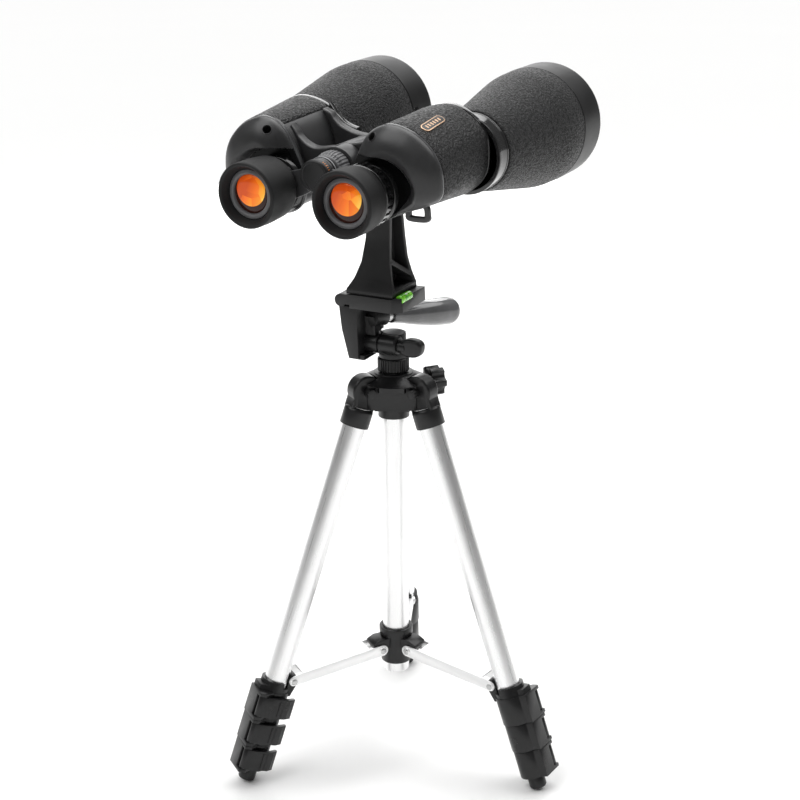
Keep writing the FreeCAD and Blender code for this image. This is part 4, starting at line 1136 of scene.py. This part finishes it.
def build_collar():
    """The column's clamp ring, with deep ribs round its grip."""
    place = STAND @ Matrix.Rotation(math.radians(90), 4, "X")
    low, high = COLLAR_SPAN
    profile = refined(soften([(8.2, low), (9.6, low), (10.9, low + 0.9), (11.0, high - 0.8), (10.2, high),
                              (8.2, high)], 0.4), 0.9)
    bm = lathe(profile, 408, ripple=teeth(34, 0.8, low + 1.0, high - 0.7))
    piece("column_collar_form", bm, place, NODE_BODY["column_collar"], "black_plastic", BLACK_PLASTIC,
          replaces=["column_collar"])


COLUMN_ALUMINIUM = brushed("column_aluminium", (0, 0, 1))
carry("centre_tube", COLUMN_ALUMINIUM)
carry("column_tube", COLUMN_ALUMINIUM)
for leg, azimuth in LEG_AZIMUTHS.items():
    leg_aluminium = brushed(leg + "_leg_aluminium", leg_direction(azimuth))
    carry(leg + "_leg_tube", leg_aluminium)
    for part in ("knuckle", "collar"):
        rounded("%s_leg_%s" % (leg, part), 0.5, "black_plastic", LEG_PLASTIC)
    for number in (1, 2, 3):
        rounded("%s_leg_lever_%d" % (leg, number), 0.4, "black_plastic", LEG_PLASTIC)
    for number in (2, 3, 4):
        rounded("%s_leg_section_%d" % (leg, number), 0.4, "black_plastic", LEG_PLASTIC)
    rounded(leg + "_brace", 0.3, "sheet_aluminium", SHEET_ALUMINIUM)
    build_rivets(leg, azimuth)
rounded("shoulder", 0.6, "black_plastic", BLACK_PLASTIC)
build_collar()
rounded("column_knob", 0.5, "black_plastic", BLACK_PLASTIC)
rounded("spreader_hub", 0.4, "black_plastic", LEG_PLASTIC)
rounded("tube_plug", 0.4, "sheet_aluminium", SHEET_ALUMINIUM)


# ---- camera and stage
def build_stage():
    """A wide pale floor and soft studio lights."""
    bpy.ops.mesh.primitive_grid_add(x_subdivisions=8, y_subdivisions=8, size=60.0, location=(0, 0, 0))
    floor = bpy.context.object
    floor.name = "floor"
    pale = Finish("floor_white", (0.96, 0.96, 0.955), 0.9)
    pale.color(pale.noise(0.5), [(0.3, (0.955, 0.955, 0.95)), (0.7, (0.965, 0.965, 0.96))])
    floor.data.materials.append(pale.material)

    world = bpy.data.worlds.new("studio")
    world.use_nodes = True
    world.node_tree.nodes["Background"].inputs["Color"].default_value = (1.0, 1.0, 1.0, 1.0)
    world.node_tree.nodes["Background"].inputs["Strength"].default_value = 0.16
    bpy.context.scene.world = world

    sky("sky_left", (-0.4, -0.55, 1.0), 50.0, 1.7)
    sky("sky_right", (0.35, 0.5, 1.0), 50.0, 1.7)
    softbox("top", (-0.25, 0.25, 1.5), (0, 0, 0.4), 0.8, 8.0)
    softbox("back", (-1.2, 1.9, 0.95), (0, 0, 0.4), 2.2, 26.0)


def softbox(name, place, target, size, power):
    """A square soft light that the camera doesn't see, aimed at a target."""
    light = bpy.data.lights.new(name, "AREA")
    light.size = size
    light.energy = power
    made = bpy.data.objects.new(name, light)
    made.location = place
    made.rotation_euler = (Vector(target) - Vector(place)).to_track_quat("-Z", "Y").to_euler()
    made.visible_camera = False
    bpy.context.scene.collection.objects.link(made)


def sky(name, source, spread, power):
    """A wide soft light that reaches the whole floor evenly, from a direction."""
    light = bpy.data.lights.new(name, "SUN")
    light.angle = math.radians(spread)
    light.energy = power
    made = bpy.data.objects.new(name, light)
    made.rotation_euler = (-Vector(source)).to_track_quat("-Z", "Y").to_euler()
    bpy.context.scene.collection.objects.link(made)


def build_camera():
    """The camera, aimed at AIM from its azimuth and elevation."""
    data = bpy.data.cameras.new("camera")
    data.lens = LENS
    camera = bpy.data.objects.new("camera", data)
    turn = (Matrix.Rotation(math.radians(AZIMUTH), 4, "Z")
            @ Matrix.Rotation(math.radians(90 - ELEVATION), 4, "X")
            @ Matrix.Rotation(math.radians(ROLL), 4, "Z"))
    back = turn @ Vector((0, 0, DISTANCE))
    camera.matrix_world = Matrix.Translation(AIM + back) @ turn
    bpy.context.scene.collection.objects.link(camera)
    bpy.context.scene.camera = camera


build_stage()
build_camera()
bpy.context.scene.view_settings.view_transform = "Standard"
